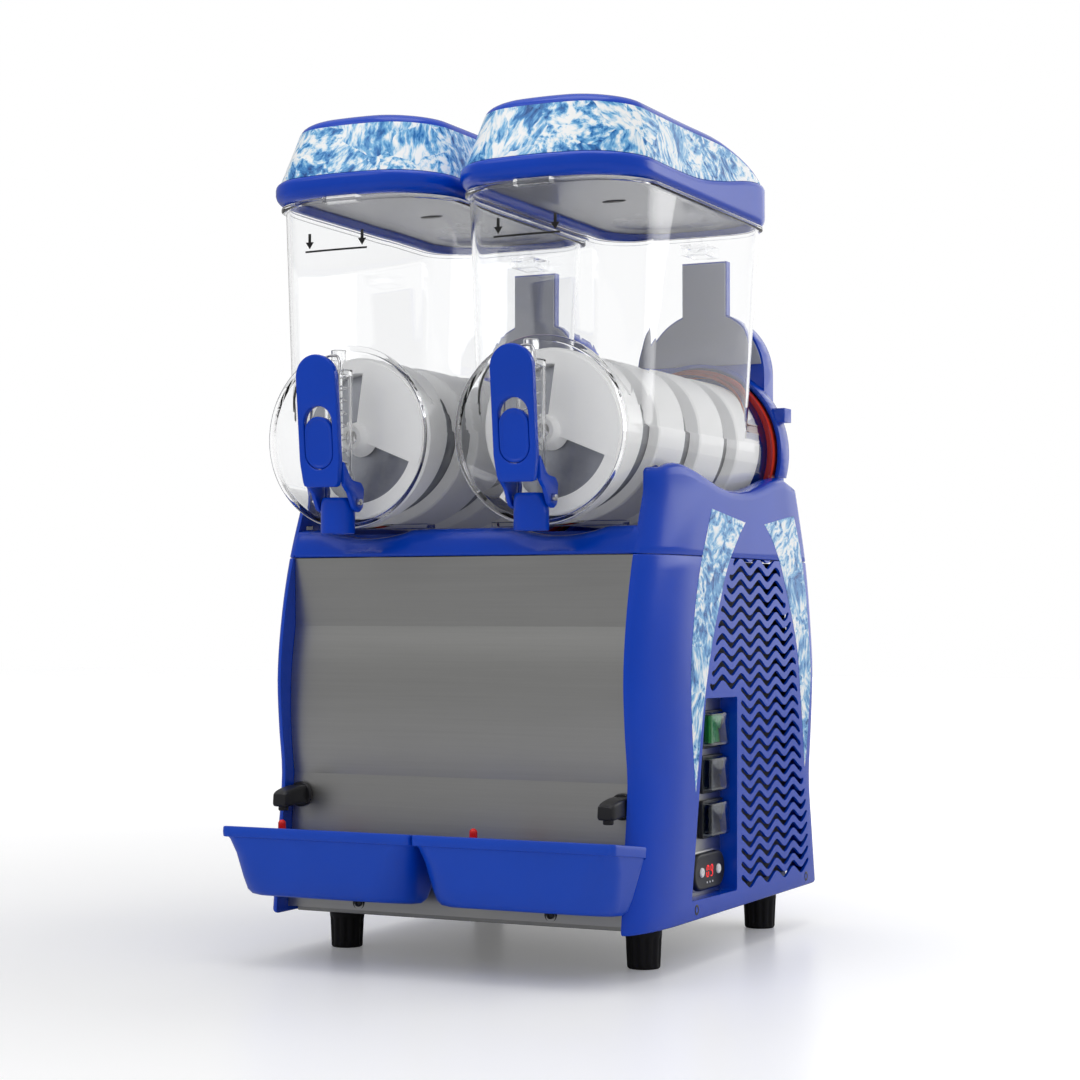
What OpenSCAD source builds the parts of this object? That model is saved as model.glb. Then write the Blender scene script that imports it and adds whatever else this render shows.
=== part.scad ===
// Twin-bowl frozen drink (slush) dispenser, countertop size.
// Millimetres. +Z is up and the front faces -Y. The origin is on the counter, under the middle of the machine.

/* [Body] */
// Overall width over the side panels
machine_w = 400; // [398:0.5:402]
// Overall depth from the drip tray lip to the foot of the side panels
machine_d = 528; // [526:1:530]
// Height of the floor pan above the counter
foot_h = 42; // [40:1:43]
// Height of the seam between the side panels and the shoulders
seam_z = 378.5; // [378:0.5:379]
// Thickness of the moulded side panels and shoulders
shell_t = 3; // [2.5:0.5:3.5]
// Half the width of the stainless front panel
front_half = 177.6; // [176:0.2:177.6]

/* [Bowls] */
// Distance between the two bowls
bowl_pitch = 200; // [199.5:0.5:201]
// Height of the bowl and auger axis
axis_z = 490; // [489:0.5:491]
// Outer radius of the lying bowl cylinder
bowl_r = 84; // [83:0.5:84.5]
// Wall thickness of the clear bowl
bowl_t = 3; // [2.5:0.5:3.5]
// Height of the bowl rim
rim_z = 715; // [713:1:716]

/* [Auger] */
// Outer radius of the auger ribbon
auger_r = 76; // [75:0.5:77]
// Distance between turns of the ribbon
auger_pitch = 100; // [98:1:102]
// Width of the ribbon along the axis
ribbon_w = 63; // [60:1:65]
// Outer radius of the evaporator drum
evap_r = 60; // [58:0.5:60.5]
// Radius of the drive shaft
shaft_r = 7; // [6:0.5:8]

/* [Tap] */
// Width of the pull lever
lever_w = 50; // [46:1:52]
// Height of the top of the pull lever
lever_top = 562; // [558:1:564]
// Distance of the tap centre line in front of the middle of the machine
tap_y = 221; // [220.5:0.5:222]

/* [Lid] */
// Half the width of a lid
lid_half = 95; // [94:0.5:96]
// Height of the top of a lid
lid_top = 802; // [798:1:806]

/* [Drip tray] */
// Width of one drip tray over its rim
tray_w = 198.8; // [197:0.2:199]
// Height of the front rim of the tray
tray_z = 129; // [127:1:131]
// Backward slope of the tray
tray_tilt = 7; // [5:0.5:8]

/* [Hidden] */
UNITS = ["left", "right"];

half_w = machine_w / 2;
half_d = machine_d / 2;
unit_x = [-bowl_pitch / 2, bowl_pitch / 2];
blue = [0.07, 0.22, 0.66];
run_fit = 0.05;       // radial clearance of a shaft or pin that turns
loose_fit = 0.4;      // gap between parts that move past each other
round_fn = 96;

// Cylinder of the bowls and the parts around their axis
bowl_front_y = -206;
bowl_rear_y = 167.5;
flange_y = 178;
flange_r = 95;
auger_y0 = -188;
auger_y1 = 164;

// Side outline: front foot, waist, belly and seam corners as [y, z]
waist_z = 173;
foot_front = [-202, foot_h];
waist_front = [-187, waist_z];
belly_front = [-196, 268];
seam_front = [-174, seam_z];
foot_rear = [half_d, foot_h];
waist_rear = [246, 155];
belly_rear = [258, 268];
seam_rear = [237, seam_z];
ear_top_z = 464;

// Control window in the right side panel as [y, z]
window_pts = [[-90, 61], [25, 59], [27, 245], [-54, 246]];
window_wall = [[-94, 58], [28, 56], [30, 248], [-57, 249]];
plate_x = 180.5;
plate_t = 1.5;
switch_y = -4;
switch_zs = [215, 172.5, 130];
rocker_pivot_x = 183.4;
rocker_tilt = 8;
thermo_y = -16;
thermo_z = 81.5;

// Tap
lever_pivot_z = 428;
barrel_r = 13;
barrel_bore = 10.8;
barrel_z0 = 430.3;
barrel_z1 = 552;
spout_half = 19;
paddle_y = -259;
paddle_t = 8;

// Drip tray, in its own frame: y runs back from the front lip, z is 0 at the top of the rim
tray_len = 82.5;
tray_deep = 62;
tray_wall = 2.5;

// A smooth curve from a to c that passes through m half way
function through(a, m, c, n = 10) =
    let (b = 2 * m - (a + c) / 2)
    [for (i = [0:n]) let (t = i / n) a * pow(1 - t, 2) + b * 2 * t * (1 - t) + c * t * t];

// Plan outline of a lid or hopper: half width, front, rear, front and rear corner radius, front bulge
function plan(hw, yf, yr, rf, rr, bulge) = concat(
    [for (a = [180:15:270]) [-(hw - rf) + rf * cos(a), yf + rf + rf * sin(a)]],
    [for (i = [1:7]) let (s = i / 4 - 1) [(hw - rf) * s, yf - bulge * (1 - s * s)]],
    [for (a = [270:15:360]) [hw - rf + rf * cos(a), yf + rf + rf * sin(a)]],
    [for (a = [0:15:90]) [hw - rr + rr * cos(a), yr - rr + rr * sin(a)]],
    [for (a = [90:15:180]) [-(hw - rr) + rr * cos(a), yr - rr + rr * sin(a)]]
);

// Extrude a [y, z] outline along X, or an [x, z] outline along Y
module along_x(x0, x1) {
    translate([x0, 0, 0]) rotate([90, 0, 90]) linear_extrude(x1 - x0) children();
}
module along_y(y0, y1) {
    translate([0, y1, 0]) rotate([90, 0, 0]) linear_extrude(y1 - y0) children();
}
// Round bar on the bowl axis of a unit
module axis_bar(x, r, y0, y1) {
    translate([x, y1, axis_z]) rotate([90, 0, 0]) cylinder(r = r, h = y1 - y0, $fn = round_fn);
}
module x_bar(r, x0, x1, y, z) {
    translate([x0, y, z]) rotate([0, 90, 0]) cylinder(r = r, h = x1 - x0, $fn = 48);
}
module slab(outline, z0, z1) {
    translate([0, 0, z0]) linear_extrude(z1 - z0) polygon(outline);
}

// ---------- base and casing ----------

foot_x = 158;
foot_ys = [-105, 198];

module feet() {
    color([0.05, 0.05, 0.06])
    for (x = [-foot_x, foot_x]) for (y = foot_ys) translate([x, y, 0]) {
        cylinder(r1 = 15.5, r2 = 17, h = foot_h - 6, $fn = 48);
        translate([0, 0, foot_h - 6]) cylinder(r = 13, h = 6, $fn = 48);
    }
}

module base_chassis() {
    pan_y0 = -172;
    pan_y1 = 236;
    pan_x = 173;
    color("silver")
    difference() {
        translate([-pan_x, pan_y0, foot_h]) cube([2 * pan_x, pan_y1 - pan_y0, 22]);
        translate([-pan_x + 2, pan_y0 + 2, foot_h + 3]) cube([2 * pan_x - 4, pan_y1 - pan_y0 - 4, 20]);
    }
}

function front_line(dy) = [for (p = concat(
    [[-182, foot_h + 5]],
    through([-171.4, waist_z], [-178, 245], [-170, 314]),
    [[-171, seam_z - 0.5]]
)) [p[0] + dy, p[1]]];

module front_panel() {
    sheet = 1.5;
    back = front_line(sheet);
    color([0.6, 0.6, 0.59])
    difference() {
        along_x(-front_half, front_half)
            polygon(concat(front_line(0), [for (i = [len(back) - 1:-1:0]) back[i]]));
        for (x = [-100, 100]) translate([x, -170, 54]) rotate([90, 0, 0]) cylinder(r = 3.1, h = 20, $fn = 24);
        for (x = [-168, 168]) translate([x, -160, 153]) rotate([90, 0, 0]) cylinder(r = 7.2, h = 20, $fn = 32);
    }
}

function side_outline() = concat(
    [foot_front],
    through(waist_front, belly_front, seam_front),
    through(seam_rear, belly_rear, waist_rear),
    [foot_rear]
);

// Moulded side shell, drawn for the right side
module side_shell() {
    vent_pitch = 12.6;
    vent_rows = 25;
    difference() {
        along_x(half_w - 22, half_w) polygon(side_outline());
        along_x(half_w - 30, half_w - shell_t) offset(delta = -shell_t) polygon(side_outline());
        for (i = [0:vent_rows - 1]) {
            z = 66 + i * vent_pitch;
            y0 = z < 250 ? 38 : 38 - (z - 250) * 0.36;
            y1 = z < 250 ? 222 : 206 - (z - 250) * 0.42;
            translate([half_w - 10, y0, z]) cube([20, y1 - y0, 4.5]);
        }
        for (y = [-78, 224]) x_bar(5.3, half_w - 10, half_w + 1, y, 52);
    }
}

module side_left() {
    color(blue) mirror([1, 0, 0]) side_shell();
}

module side_right() {
    color(blue)
    difference() {
        union() {
            side_shell();
            along_x(plate_x + plate_t, half_w - 1) polygon(window_wall);
        }
        along_x(plate_x - 5, half_w + 5) polygon(window_pts);
    }
}

function ear_outline() = concat(
    [[seam_front[0], seam_z + 0.5], [-151, 436]],
    through([-149, 441], [-134, 459], [-108, ear_top_z], 5),
    through([-100, ear_top_z], [24, 443.5], [150, ear_top_z]),
    through([170, ear_top_z - 1], [205, 454], [216, 430], 5),
    [[seam_rear[0], seam_z + 0.5]]
);

// Upper shoulder with its front ear, drawn for the right side
module shoulder_shell() {
    inner_x = 181;
    gasket_room = 88.6;
    difference() {
        along_x(inner_x, half_w) polygon(ear_outline());
        axis_bar(bowl_pitch / 2, gasket_room, 160, 182);
        along_x(inner_x + shell_t, half_w - shell_t)
            offset(delta = -shell_t) polygon(concat([[seam_front[0], seam_z - 20]], ear_outline(),
                [[seam_rear[0], seam_z - 20]]));
    }
}

module shoulder_left() {
    color(blue) mirror([1, 0, 0]) shoulder_shell();
}
module shoulder_right() {
    color(blue) shoulder_shell();
}

module deck() {
    bar_half = 180.6;
    dip_r = 150;
    bar_top = 405;
    deck_z = seam_z + 0.5;
    color(blue)
    difference() {
        union() {
            // front bar with a sloping face
            along_x(-bar_half, bar_half)
                polygon([[-174, deck_z], [-146, deck_z], [-146, bar_top], [-152, bar_top], [-170, 398]]);
            // tub floor and rear wall
            translate([-bar_half, -147, deck_z]) cube([2 * bar_half, 336, 4]);
            translate([-bar_half, 185, deck_z]) cube([2 * bar_half, 4, 22]);
        }
        for (x = unit_x) translate([x, -140, 397 + dip_r]) rotate([90, 0, 0])
            cylinder(r = dip_r, h = 40, $fn = 180);
    }
}

module rear_cover() {
    plate_y = 236.5;
    hood_half = 165;
    color([0.10, 0.24, 0.62]) {
        // lower sheet with cooling slots
        difference() {
            translate([-172, plate_y, foot_h + 23]) cube([344, 2, seam_z - foot_h - 24]);
            for (row = [0:13]) for (x = [-120, 20])
                translate([x, plate_y - 1, 110 + row * 16]) cube([100, 4, 5]);
            translate([119, plate_y - 1, 78]) cube([30, 4, 22]);
        }
        // hood over the two gearmotors
        difference() {
            along_x(-hood_half, hood_half)
                polygon([[217, seam_z + 1], [256, seam_z + 1], [256, 520], [232, 545], [217, 545]]);
            along_x(-hood_half + 2, hood_half - 2)
                polygon([[210, seam_z + 3], [254, seam_z + 3], [254, 519], [231, 543], [210, 543]]);
        }
    }
}

module panel_screws() {
    color([0.12, 0.12, 0.13]) {
        for (x = [-100, 100]) translate([x, -182.1, 54]) rotate([90, 0, 0]) difference() {
            union() {
                cylinder(r = 4.2, h = 3.4, $fn = 32);
                translate([0, 0, -8]) cylinder(r = 2.8, h = 9, $fn = 24);
            }
            translate([0, 0, 1.6]) cylinder(r = 1.8, h = 3, $fn = 6);
        }
        for (s = [-1, 1]) for (y = [-78, 224]) {
            x0 = half_w - 8;
            translate([s > 0 ? x0 : -x0 - 6.5, y, 52]) rotate([0, 90, 0]) cylinder(r = 5, h = 6.5, $fn = 32);
        }
    }
}

module drain_spouts() {
    color([0.06, 0.06, 0.07])
    for (x = [-168, 168]) translate([x, 0, 153]) {
        // collar and neck through the panel
        translate([0, -174.3, 0]) rotate([90, 0, 0]) cylinder(r = 12, h = 3.5, $fn = 48);
        translate([0, -165, 0]) rotate([90, 0, 0]) cylinder(r = 7, h = 14, $fn = 48);
        // drooping head with its outlet
        difference() {
            hull() {
                translate([0, -177, 0]) rotate([90, 0, 0]) cylinder(r = 9, h = 4, $fn = 32);
                translate([-9, -208, -3]) cube([18, 12, 9]);
                translate([-7, -214, -8]) cube([14, 10, 6]);
            }
            translate([0, -209, -14]) cylinder(r = 3.5, h = 14, $fn = 32);
        }
    }
}

// ---------- controls ----------

module control_plate() {
    color([0.72, 0.72, 0.70]) {
        along_x(plate_x, plate_x + plate_t - 0.2) polygon(window_wall);
        // fixed bezels of the three switches
        for (z = switch_zs) difference() {
            translate([plate_x + plate_t - 0.4, switch_y - 26, z - 17.5]) cube([4.9, 52, 35]);
            translate([plate_x + plate_t - 0.2, switch_y - 21, z - 13.5]) cube([20, 42, 27]);
        }
    }
}

module rocker(z) {
    color([0.04, 0.04, 0.05])
    translate([rocker_pivot_x, switch_y, z - 13]) {
        rotate([0, 0, rocker_tilt]) linear_extrude(26)
            polygon([[-0.6, -3], [2.6, -19], [6.4, -19], [4.6, 0], [6.4, 19], [2.6, 19], [-0.6, 3]]);
        // trunnions at both ends of the rocker
        translate([0, 0, -0.4]) cylinder(r = 1.5, h = 26.8, $fn = 32);
    }
}
module rocker_top() rocker(switch_zs[0]);
module rocker_middle() rocker(switch_zs[1]);
module rocker_bottom() rocker(switch_zs[2]);

button_dy = 21;
button_r = 4.6;

module thermostat() {
    body_half = 39;
    body_r = 17.5;
    color([0.05, 0.05, 0.055])
    difference() {
        translate([plate_x + plate_t, thermo_y, thermo_z]) rotate([0, 90, 0]) rotate([0, 0, 90]) union() {
            for (s = [-1, 1]) translate([s * (body_half - body_r), 0, 0]) cylinder(r = body_r, h = 7, $fn = 64);
            translate([-(body_half - body_r), -body_r, 0]) cube([2 * (body_half - body_r), 2 * body_r, 7]);
        }
        for (s = [-1, 1]) x_bar(button_r + loose_fit, plate_x + plate_t + 3, 200, thermo_y + s * button_dy, thermo_z);
    }
}
module thermostat_button(s) {
    color("white") x_bar(button_r, plate_x + plate_t + 4.6, plate_x + plate_t + 8.2, thermo_y + s * button_dy, thermo_z);
}
module thermostat_button_front() thermostat_button(-1);
module thermostat_button_rear() thermostat_button(1);

// ---------- cooling system ----------

module compressor() {
    can_r = 62;
    color([0.08, 0.08, 0.09]) translate([-72, 40, foot_h + 3.2]) {
        difference() {
            translate([0, 0, 12]) cylinder(r = can_r, h = 128, $fn = 64);
            translate([0, 0, 128]) difference() {
                cylinder(r = can_r + 5, h = 20, $fn = 64);
                sphere(r = can_r + 1, $fn = 64);
            }
        }
        for (a = [45:90:315]) rotate([0, 0, a]) translate([can_r + 2, 0, 0]) cylinder(r = 8, h = 12.2, $fn = 24);
        difference() {
            translate([-can_r - 6, -can_r - 6, 10]) cube([2 * can_r + 12, 2 * can_r + 12, 3]);
            for (a = [45:90:315]) rotate([0, 0, a]) translate([can_r + 30, 0, 0]) cylinder(r = 8, h = 20, $fn = 24);
        }
    }
}

fan_y = 125;
fan_z = 150;
cond_x = 138;

module condenser() {
    fins = 15;
    color([0.75, 0.75, 0.76]) {
        for (i = [0:fins]) translate([cond_x, 42 + i * 11, 62]) cube([26, 1.2, 176]);
        for (z = [72:26:228]) translate([cond_x + 13, 40, z]) rotate([-90, 0, 0]) cylinder(r = 4, h = 170, $fn = 24);
        translate([cond_x - 2, 38, 60]) cube([30, 4, 180]);
        translate([cond_x - 2, 208, 60]) cube([30, 4, 180]);
        translate([cond_x - 2, 38, foot_h + 3.2]) cube([30, 174, 15.5]);
    }
}

module fan_motor() {
    color([0.2, 0.2, 0.21]) {
        x_bar(27, 54, 92, fan_y, fan_z);
        x_bar(3, 92, 118, fan_y, fan_z);
        translate([66, fan_y - 20, foot_h + 3.2]) cube([4, 40, fan_z - foot_h - 10]);
    }
}

module fan_blades() {
    color([0.3, 0.3, 0.32])
    difference() {
        union() {
            x_bar(16, 104, 120, fan_y, fan_z);
            for (a = [0:72:359]) translate([112, fan_y, fan_z]) rotate([a, 0, 0])
                translate([0, 0, 12]) rotate([0, 0, 24]) translate([-1, -20, 0]) cube([2, 40, 56]);
        }
        x_bar(3 + run_fit, 100, 125, fan_y, fan_z);
    }
}

module power_inlet() {
    color([0.05, 0.05, 0.05])
    difference() {
        union() {
            translate([119.3, 216, 78.3]) cube([29.4, 22, 21.4]);
            translate([111, 238.6, 74]) cube([46, 3, 30]);
        }
        translate([122, 222, 81]) cube([24, 30, 16]);
        for (x = [115, 153]) translate([x, 250, 89]) rotate([90, 0, 0]) cylinder(r = 1.6, h = 20, $fn = 24);
    }
}

// ---------- freezing units ----------

module evaporators() {
    color([0.66, 0.67, 0.68])
    for (x = unit_x) difference() {
        union() {
            difference() {
                axis_bar(x, evap_r, -176, flange_y - 0.3);
                axis_bar(x, evap_r - 2, -173, flange_y + 5);
            }
            axis_bar(x, shaft_r + 5, -174, flange_y - 0.3);
        }
        axis_bar(x, shaft_r + run_fit, -180, 200);
    }
}

// Ring of the ribbon's four corners at turn angle a
function ribbon_y(a) = -182.5 + auger_pitch * a / 360;
function ribbon_ring(a, r0) = let (
    ya = max(auger_y0, ribbon_y(a) - ribbon_w / 2),
    yb = min(auger_y1, ribbon_y(a) + ribbon_w / 2)
) [for (p = [[r0, ya], [auger_r, ya], [auger_r, yb], [r0, yb]]) [p[0] * cos(a), p[1], p[0] * sin(a)]];

module ribbon() {
    r0 = evap_r + 1.5;
    a0 = (auger_y0 + 1 - ribbon_w / 2 + 182.5) * 360 / auger_pitch;
    a1 = (auger_y1 - 1 + ribbon_w / 2 + 182.5) * 360 / auger_pitch;
    n = 110;
    pts = [for (i = [0:n]) each ribbon_ring(a0 + (a1 - a0) * i / n, r0)];
    walls = [for (i = [0:n - 1]) for (k = [0:3]) let (a = 4 * i + k, b = 4 * i + (k + 1) % 4)
        each [[a, a + 4, b], [b, a + 4, b + 4]]];
    ends = [[0, 1, 2], [0, 2, 3], [4 * n, 4 * n + 2, 4 * n + 1], [4 * n, 4 * n + 3, 4 * n + 2]];
    polyhedron(points = pts, faces = concat(walls, ends), convexity = 10);
}

module auger(x) {
    vane_a0 = -22;
    vane_a1 = 82;
    color([0.93, 0.93, 0.91])
    translate([x, 0, axis_z]) difference() {
        union() {
            ribbon();
            // hub and the vane that ties it to the ribbon
            translate([0, -178, 0]) rotate([90, 0, 0]) cylinder(r1 = 17, r2 = 12, h = 21, $fn = 48);
            along_y(-190, -184)
                polygon(concat([[0, 0]], [for (a = [vane_a0:4:vane_a1]) (auger_r - 3) * [cos(a), sin(a)]]));
        }
        translate([0, -170, 0]) rotate([90, 0, 0]) cylinder(r = shaft_r + run_fit, h = 22, $fn = 48);
    }
}
module auger_left() auger(unit_x[0]);
module auger_right() auger(unit_x[1]);

module drive_shaft(x) {
    color("gainsboro") axis_bar(x, shaft_r, -190, 228);
}
module drive_shaft_left() drive_shaft(unit_x[0]);
module drive_shaft_right() drive_shaft(unit_x[1]);

module gearmotors() {
    color([0.45, 0.46, 0.48])
    for (x = unit_x) difference() {
        union() {
            translate([x - 38, 218, axis_z - 42]) cube([76, 18, 84]);
            axis_bar(x, 26, 235, 253);
        }
        axis_bar(x, shaft_r + run_fit, 200, 230);
    }
}

module gasket(x) {
    color([0.75, 0.1, 0.1])
    translate([x, flange_y - 0.3, axis_z]) rotate([90, 0, 0]) rotate_extrude($fn = round_fn) {
        translate([80.5, 0]) square([5, 9.4]);
        translate([84, 2.6]) circle(r = 2.6, $fn = 24);
        translate([85.2, 2.6]) circle(r = 2.6, $fn = 24);
        translate([85.2, 7]) circle(r = 2.4, $fn = 24);
    }
}
module gasket_left() gasket(unit_x[0]);
module gasket_right() gasket(unit_x[1]);

// Keeps the round flange clear of the shoulders and the deck
module flange_trim(x) {
    translate([x - 97, 150, ear_top_z + 1]) cube([194, 60, 137]);
    translate([x - 78, 150, 402]) cube([156, 60, 70]);
}

column_half = 25;
arch_r = 68;
arch_z = 575;

module column_housings() {
    color(blue)
    for (x = unit_x) difference() {
        union() {
            // round flange with a collar about the gasket
            intersection() {
                difference() {
                    axis_bar(x, flange_r, 162, 190);
                    axis_bar(x, flange_r - 4, 150, flange_y);
                }
                flange_trim(x);
            }
            // arch-shaped housing that stands on the deck
            translate([x, 0, 0]) along_y(189.5, 216) union() {
                translate([0, arch_z]) circle(r = arch_r, $fn = round_fn);
                translate([-arch_r, 401.5]) square([2 * arch_r, arch_z - 401.5]);
            }
            // light column up to the lid
            translate([x - column_half, 189.5, arch_z]) cube([2 * column_half, 11, 120]);
            // bowl lock with its coloured tip
            translate([x + 84, 168, 522]) cube([14, 20, 14]);
        }
        translate([x - arch_r + 4, 196, 405]) cube([2 * arch_r - 8, 30, arch_z - 405]);
        axis_bar(x, shaft_r + 1, 150, 230);
    }
}

module column_faces() {
    color([0.53, 0.54, 0.59])
    for (x = unit_x) translate([x, 0, 0]) along_y(187, 189.2) union() {
        difference() {
            translate([0, arch_z]) circle(r = arch_r - 2, $fn = round_fn);
            translate([-arch_r, arch_z - arch_r - 1]) square([2 * arch_r, arch_r + 11]);
        }
        translate([-column_half + 1, arch_z + 20]) square([2 * column_half - 2, 98]);
    }
}

module column_connectors() {
    color([0.9, 0.9, 0.9, 0.4])
    for (x = unit_x) {
        difference() {
            translate([x - 14, 157, 699]) cube([28, 40, 11]);
            for (s = [-7, 7]) translate([x + s, 163, 702]) cylinder(r = 1.5, h = 20, $fn = 24);
            translate([x - 10, 168, 697]) cube([20, 20, 9]);
        }
        for (s = [-7, 7]) translate([x + s, 163, 702]) cylinder(r = 1.5, h = 12.8, $fn = 24);
    }
}

// ---------- bowl, lid ----------

hop_front = -200;
hop_rear = 150;

function hopper_top(d) = plan(92 - d, hop_front + d, hop_rear - d, 48 - d, 48 - d, 9);
function hopper_foot(d) = plan(83.5 - d, hop_front + 4 + d, 128 - d, 44 - d, 40 - d, 5);

module hopper(d, z1) {
    hull() {
        slab(hopper_foot(d), axis_z, axis_z + 1);
        slab(hopper_top(d), z1 - 1, z1);
    }
}

module bowl(x) {
    color([0.85, 0.9, 0.95, 0.35])
    translate([x, 0, 0]) difference() {
        union() {
            axis_bar(0, bowl_r, bowl_front_y, bowl_rear_y);
            axis_bar(0, bowl_r + 2, bowl_front_y, bowl_front_y + 4);
            hopper(0, rim_z);
            slab(plan(96, hop_front - 3, hop_rear + 3, 50, 50, 9), rim_z - 4, rim_z);
            // foot ledge that rests on the deck bar
            translate([-66, -172, 405.3]) cube([132, 20, 4]);
            // tap barrel and the web that carries it
            translate([0, -tap_y, barrel_z0]) cylinder(r = barrel_r, h = barrel_z1 - barrel_z0, $fn = 64);
            translate([-5, -tap_y, 446]) cube([10, 18, 98]);
            // latch bar under the front of the lid
            translate([-18, -222, rim_z - 6]) cube([36, 14, 6]);
        }
        axis_bar(0, bowl_r - bowl_t, bowl_front_y + 4, bowl_rear_y + 5);
        hopper(bowl_t, rim_z + 1);
        translate([0, -tap_y, barrel_z0 - 5]) cylinder(r = barrel_bore, h = barrel_z1 - barrel_z0 + 1, $fn = 64);
        translate([0, -tap_y, barrel_z0]) cylinder(r = 4 + run_fit, h = 140, $fn = 32);
        // port from the bowl into the barrel
        translate([0, -195, 452]) rotate([90, 0, 0]) cylinder(r = 6.5, h = 25, $fn = 32);
    }
}
module bowl_left() bowl(unit_x[0]);
module bowl_right() bowl(unit_x[1]);

lid_z0 = rim_z + 0.3;
lid_front = -212;
lid_rear = 170;
diffuser_z = lid_z0 + 7;

function lid_plan(d) = plan(lid_half - d, lid_front + d, lid_rear - d, 45 - d / 2, 60 - d / 2, 16 * pow(1 - d / 100, 2));

// Lid body whose walls lean inwards, shrunk by d
module lid_form(d) {
    hull() {
        slab(lid_plan(d), lid_z0, lid_z0 + 18);
        slab(lid_plan(20 + d), lid_top - 10 - d, lid_top - 9 - d);
        slab(lid_plan(38 + d), lid_top - 1 - d, lid_top - d);
    }
}
// Side outline of the lid, which falls towards the rear
module lid_fall(d) {
    along_x(-100, 100)
        polygon(concat([[-240, 700], [-240, lid_top + 5 - d], [20, lid_top + 2 - d]],
            through([50, lid_top - 3 - d], [110, 778 - d], [175, 752 - d], 6), [[175, 700]]));
}
// Zone of the printed band between the rim and the top edge
module band_zone() {
    along_x(-100, 100)
        polygon([[-240, 735], [-60, 735], [10, 743], [100, 757], [128, 757], [96, 772], [44, 788], [-240, 788]]);
}

module lid_shell(x) {
    color(blue)
    translate([x, 0, 0]) difference() {
        intersection() {
            lid_form(0);
            lid_fall(0);
        }
        intersection() {
            lid_form(4);
            lid_fall(4);
            translate([-150, -300, diffuser_z]) cube([300, 600, 100]);
        }
        slab(lid_plan(14), lid_z0 - 1, diffuser_z + 1);
        // shallow seat of the printed band
        difference() {
            intersection() {
                band_zone();
                lid_fall(5);
            }
            lid_form(1);
        }
    }
}
module lid_shell_left() lid_shell(unit_x[0]);
module lid_shell_right() lid_shell(unit_x[1]);

module lid_band(x) {
    color([0.6, 0.8, 0.95])
    translate([x, 0, 0]) difference() {
        intersection() {
            lid_form(0.2);
            band_zone();
            lid_fall(5);
        }
        lid_form(1);
    }
}
module lid_band_left() lid_band(unit_x[0]);
module lid_band_right() lid_band(unit_x[1]);

module lid_diffuser(x) {
    color([0.8, 0.8, 0.8, 0.7]) translate([x, 0, 0]) slab(lid_plan(4.4), diffuser_z, diffuser_z + 3);
}
module lid_diffuser_left() lid_diffuser(unit_x[0]);
module lid_diffuser_right() lid_diffuser(unit_x[1]);

// ---------- tap ----------

module spout_block(x) {
    top_z = 443;
    color(blue)
    translate([x, 0, 0]) difference() {
        along_y(-240, bowl_front_y - 0.2) union() {
            translate([0, top_z - spout_half]) circle(r = spout_half, $fn = 64);
            translate([-spout_half, 399]) square([2 * spout_half, top_z - spout_half - 399]);
        }
        translate([0, -tap_y, barrel_z0 - 0.3]) cylinder(r = barrel_r + run_fit, h = 30, $fn = 64);
        translate([0, -tap_y, 390]) cylinder(r = 10, h = 60, $fn = 64);
        x_bar(3 + run_fit, -30, -14.5, -tap_y, lever_pivot_z);
        x_bar(3 + run_fit, 14.5, 30, -tap_y, lever_pivot_z);
    }
}
module spout_block_left() spout_block(unit_x[0]);
module spout_block_right() spout_block(unit_x[1]);

module lever_pins(x) {
    color("gainsboro") for (s = [-1, 1])
        x_bar(3, x + (s > 0 ? 14.8 : -25), x + (s > 0 ? 25 : -14.8), -tap_y, lever_pivot_z);
}
module lever_pins_left() lever_pins(unit_x[0]);
module lever_pins_right() lever_pins(unit_x[1]);

module tap_piston(x) {
    color([0.9, 0.9, 0.92]) translate([x, -tap_y, 0]) {
        translate([0, 0, 444]) cylinder(r = barrel_bore - run_fit, h = 18, $fn = 64);
        translate([0, 0, 461]) cylinder(r = 4, h = 108, $fn = 32);
        translate([0, 0, 560]) cylinder(r = 7, h = 10, $fn = 32);
    }
}
module tap_piston_left() tap_piston(unit_x[0]);
module tap_piston_right() tap_piston(unit_x[1]);

spring_z0 = 463.2;
spring_z1 = 546;

function spring_ring(t, turns, r, w) = let (a = 360 * turns * t, z = spring_z0 + w + (spring_z1 - spring_z0 - 2 * w) * t)
    [for (k = [0:4]) let (q = r + w * cos(72 * k)) [q * cos(a), q * sin(a), z + w * sin(72 * k)]];

module tap_spring(x) {
    turns = 7;
    n = turns * 12;
    pts = [for (i = [0:n]) each spring_ring(i / n, turns, 7.6, 0.9)];
    walls = [for (i = [0:n - 1]) for (k = [0:4]) let (a = 5 * i + k, b = 5 * i + (k + 1) % 5)
        each [[a, b, a + 5], [b, b + 5, a + 5]]];
    ends = [[for (k = [4:-1:0]) k], [for (k = [0:4]) 5 * n + k]];
    color("silver") translate([x, -tap_y, 0])
        polyhedron(points = pts, faces = concat(walls, ends), convexity = 10);
}
module tap_spring_left() tap_spring(unit_x[0]);
module tap_spring_right() tap_spring(unit_x[1]);

hole_half = 15;

module stadium(half, z0, z1) {
    translate([0, z0 + half]) circle(r = half, $fn = 48);
    translate([0, z1 - half]) circle(r = half, $fn = 48);
    translate([-half, z0 + half]) square([2 * half, z1 - z0 - 2 * half]);
}

module lever_cheek(x0) {
    along_x(x0, x0 + 4)
        polygon(concat([[-252, 464], [-252, 446], [-231, 425], [-224, 419.5], [-213, 420], [-208.5, 428],
            [-209, 445], [-216, 449], [-236, 464]]));
}

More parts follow.
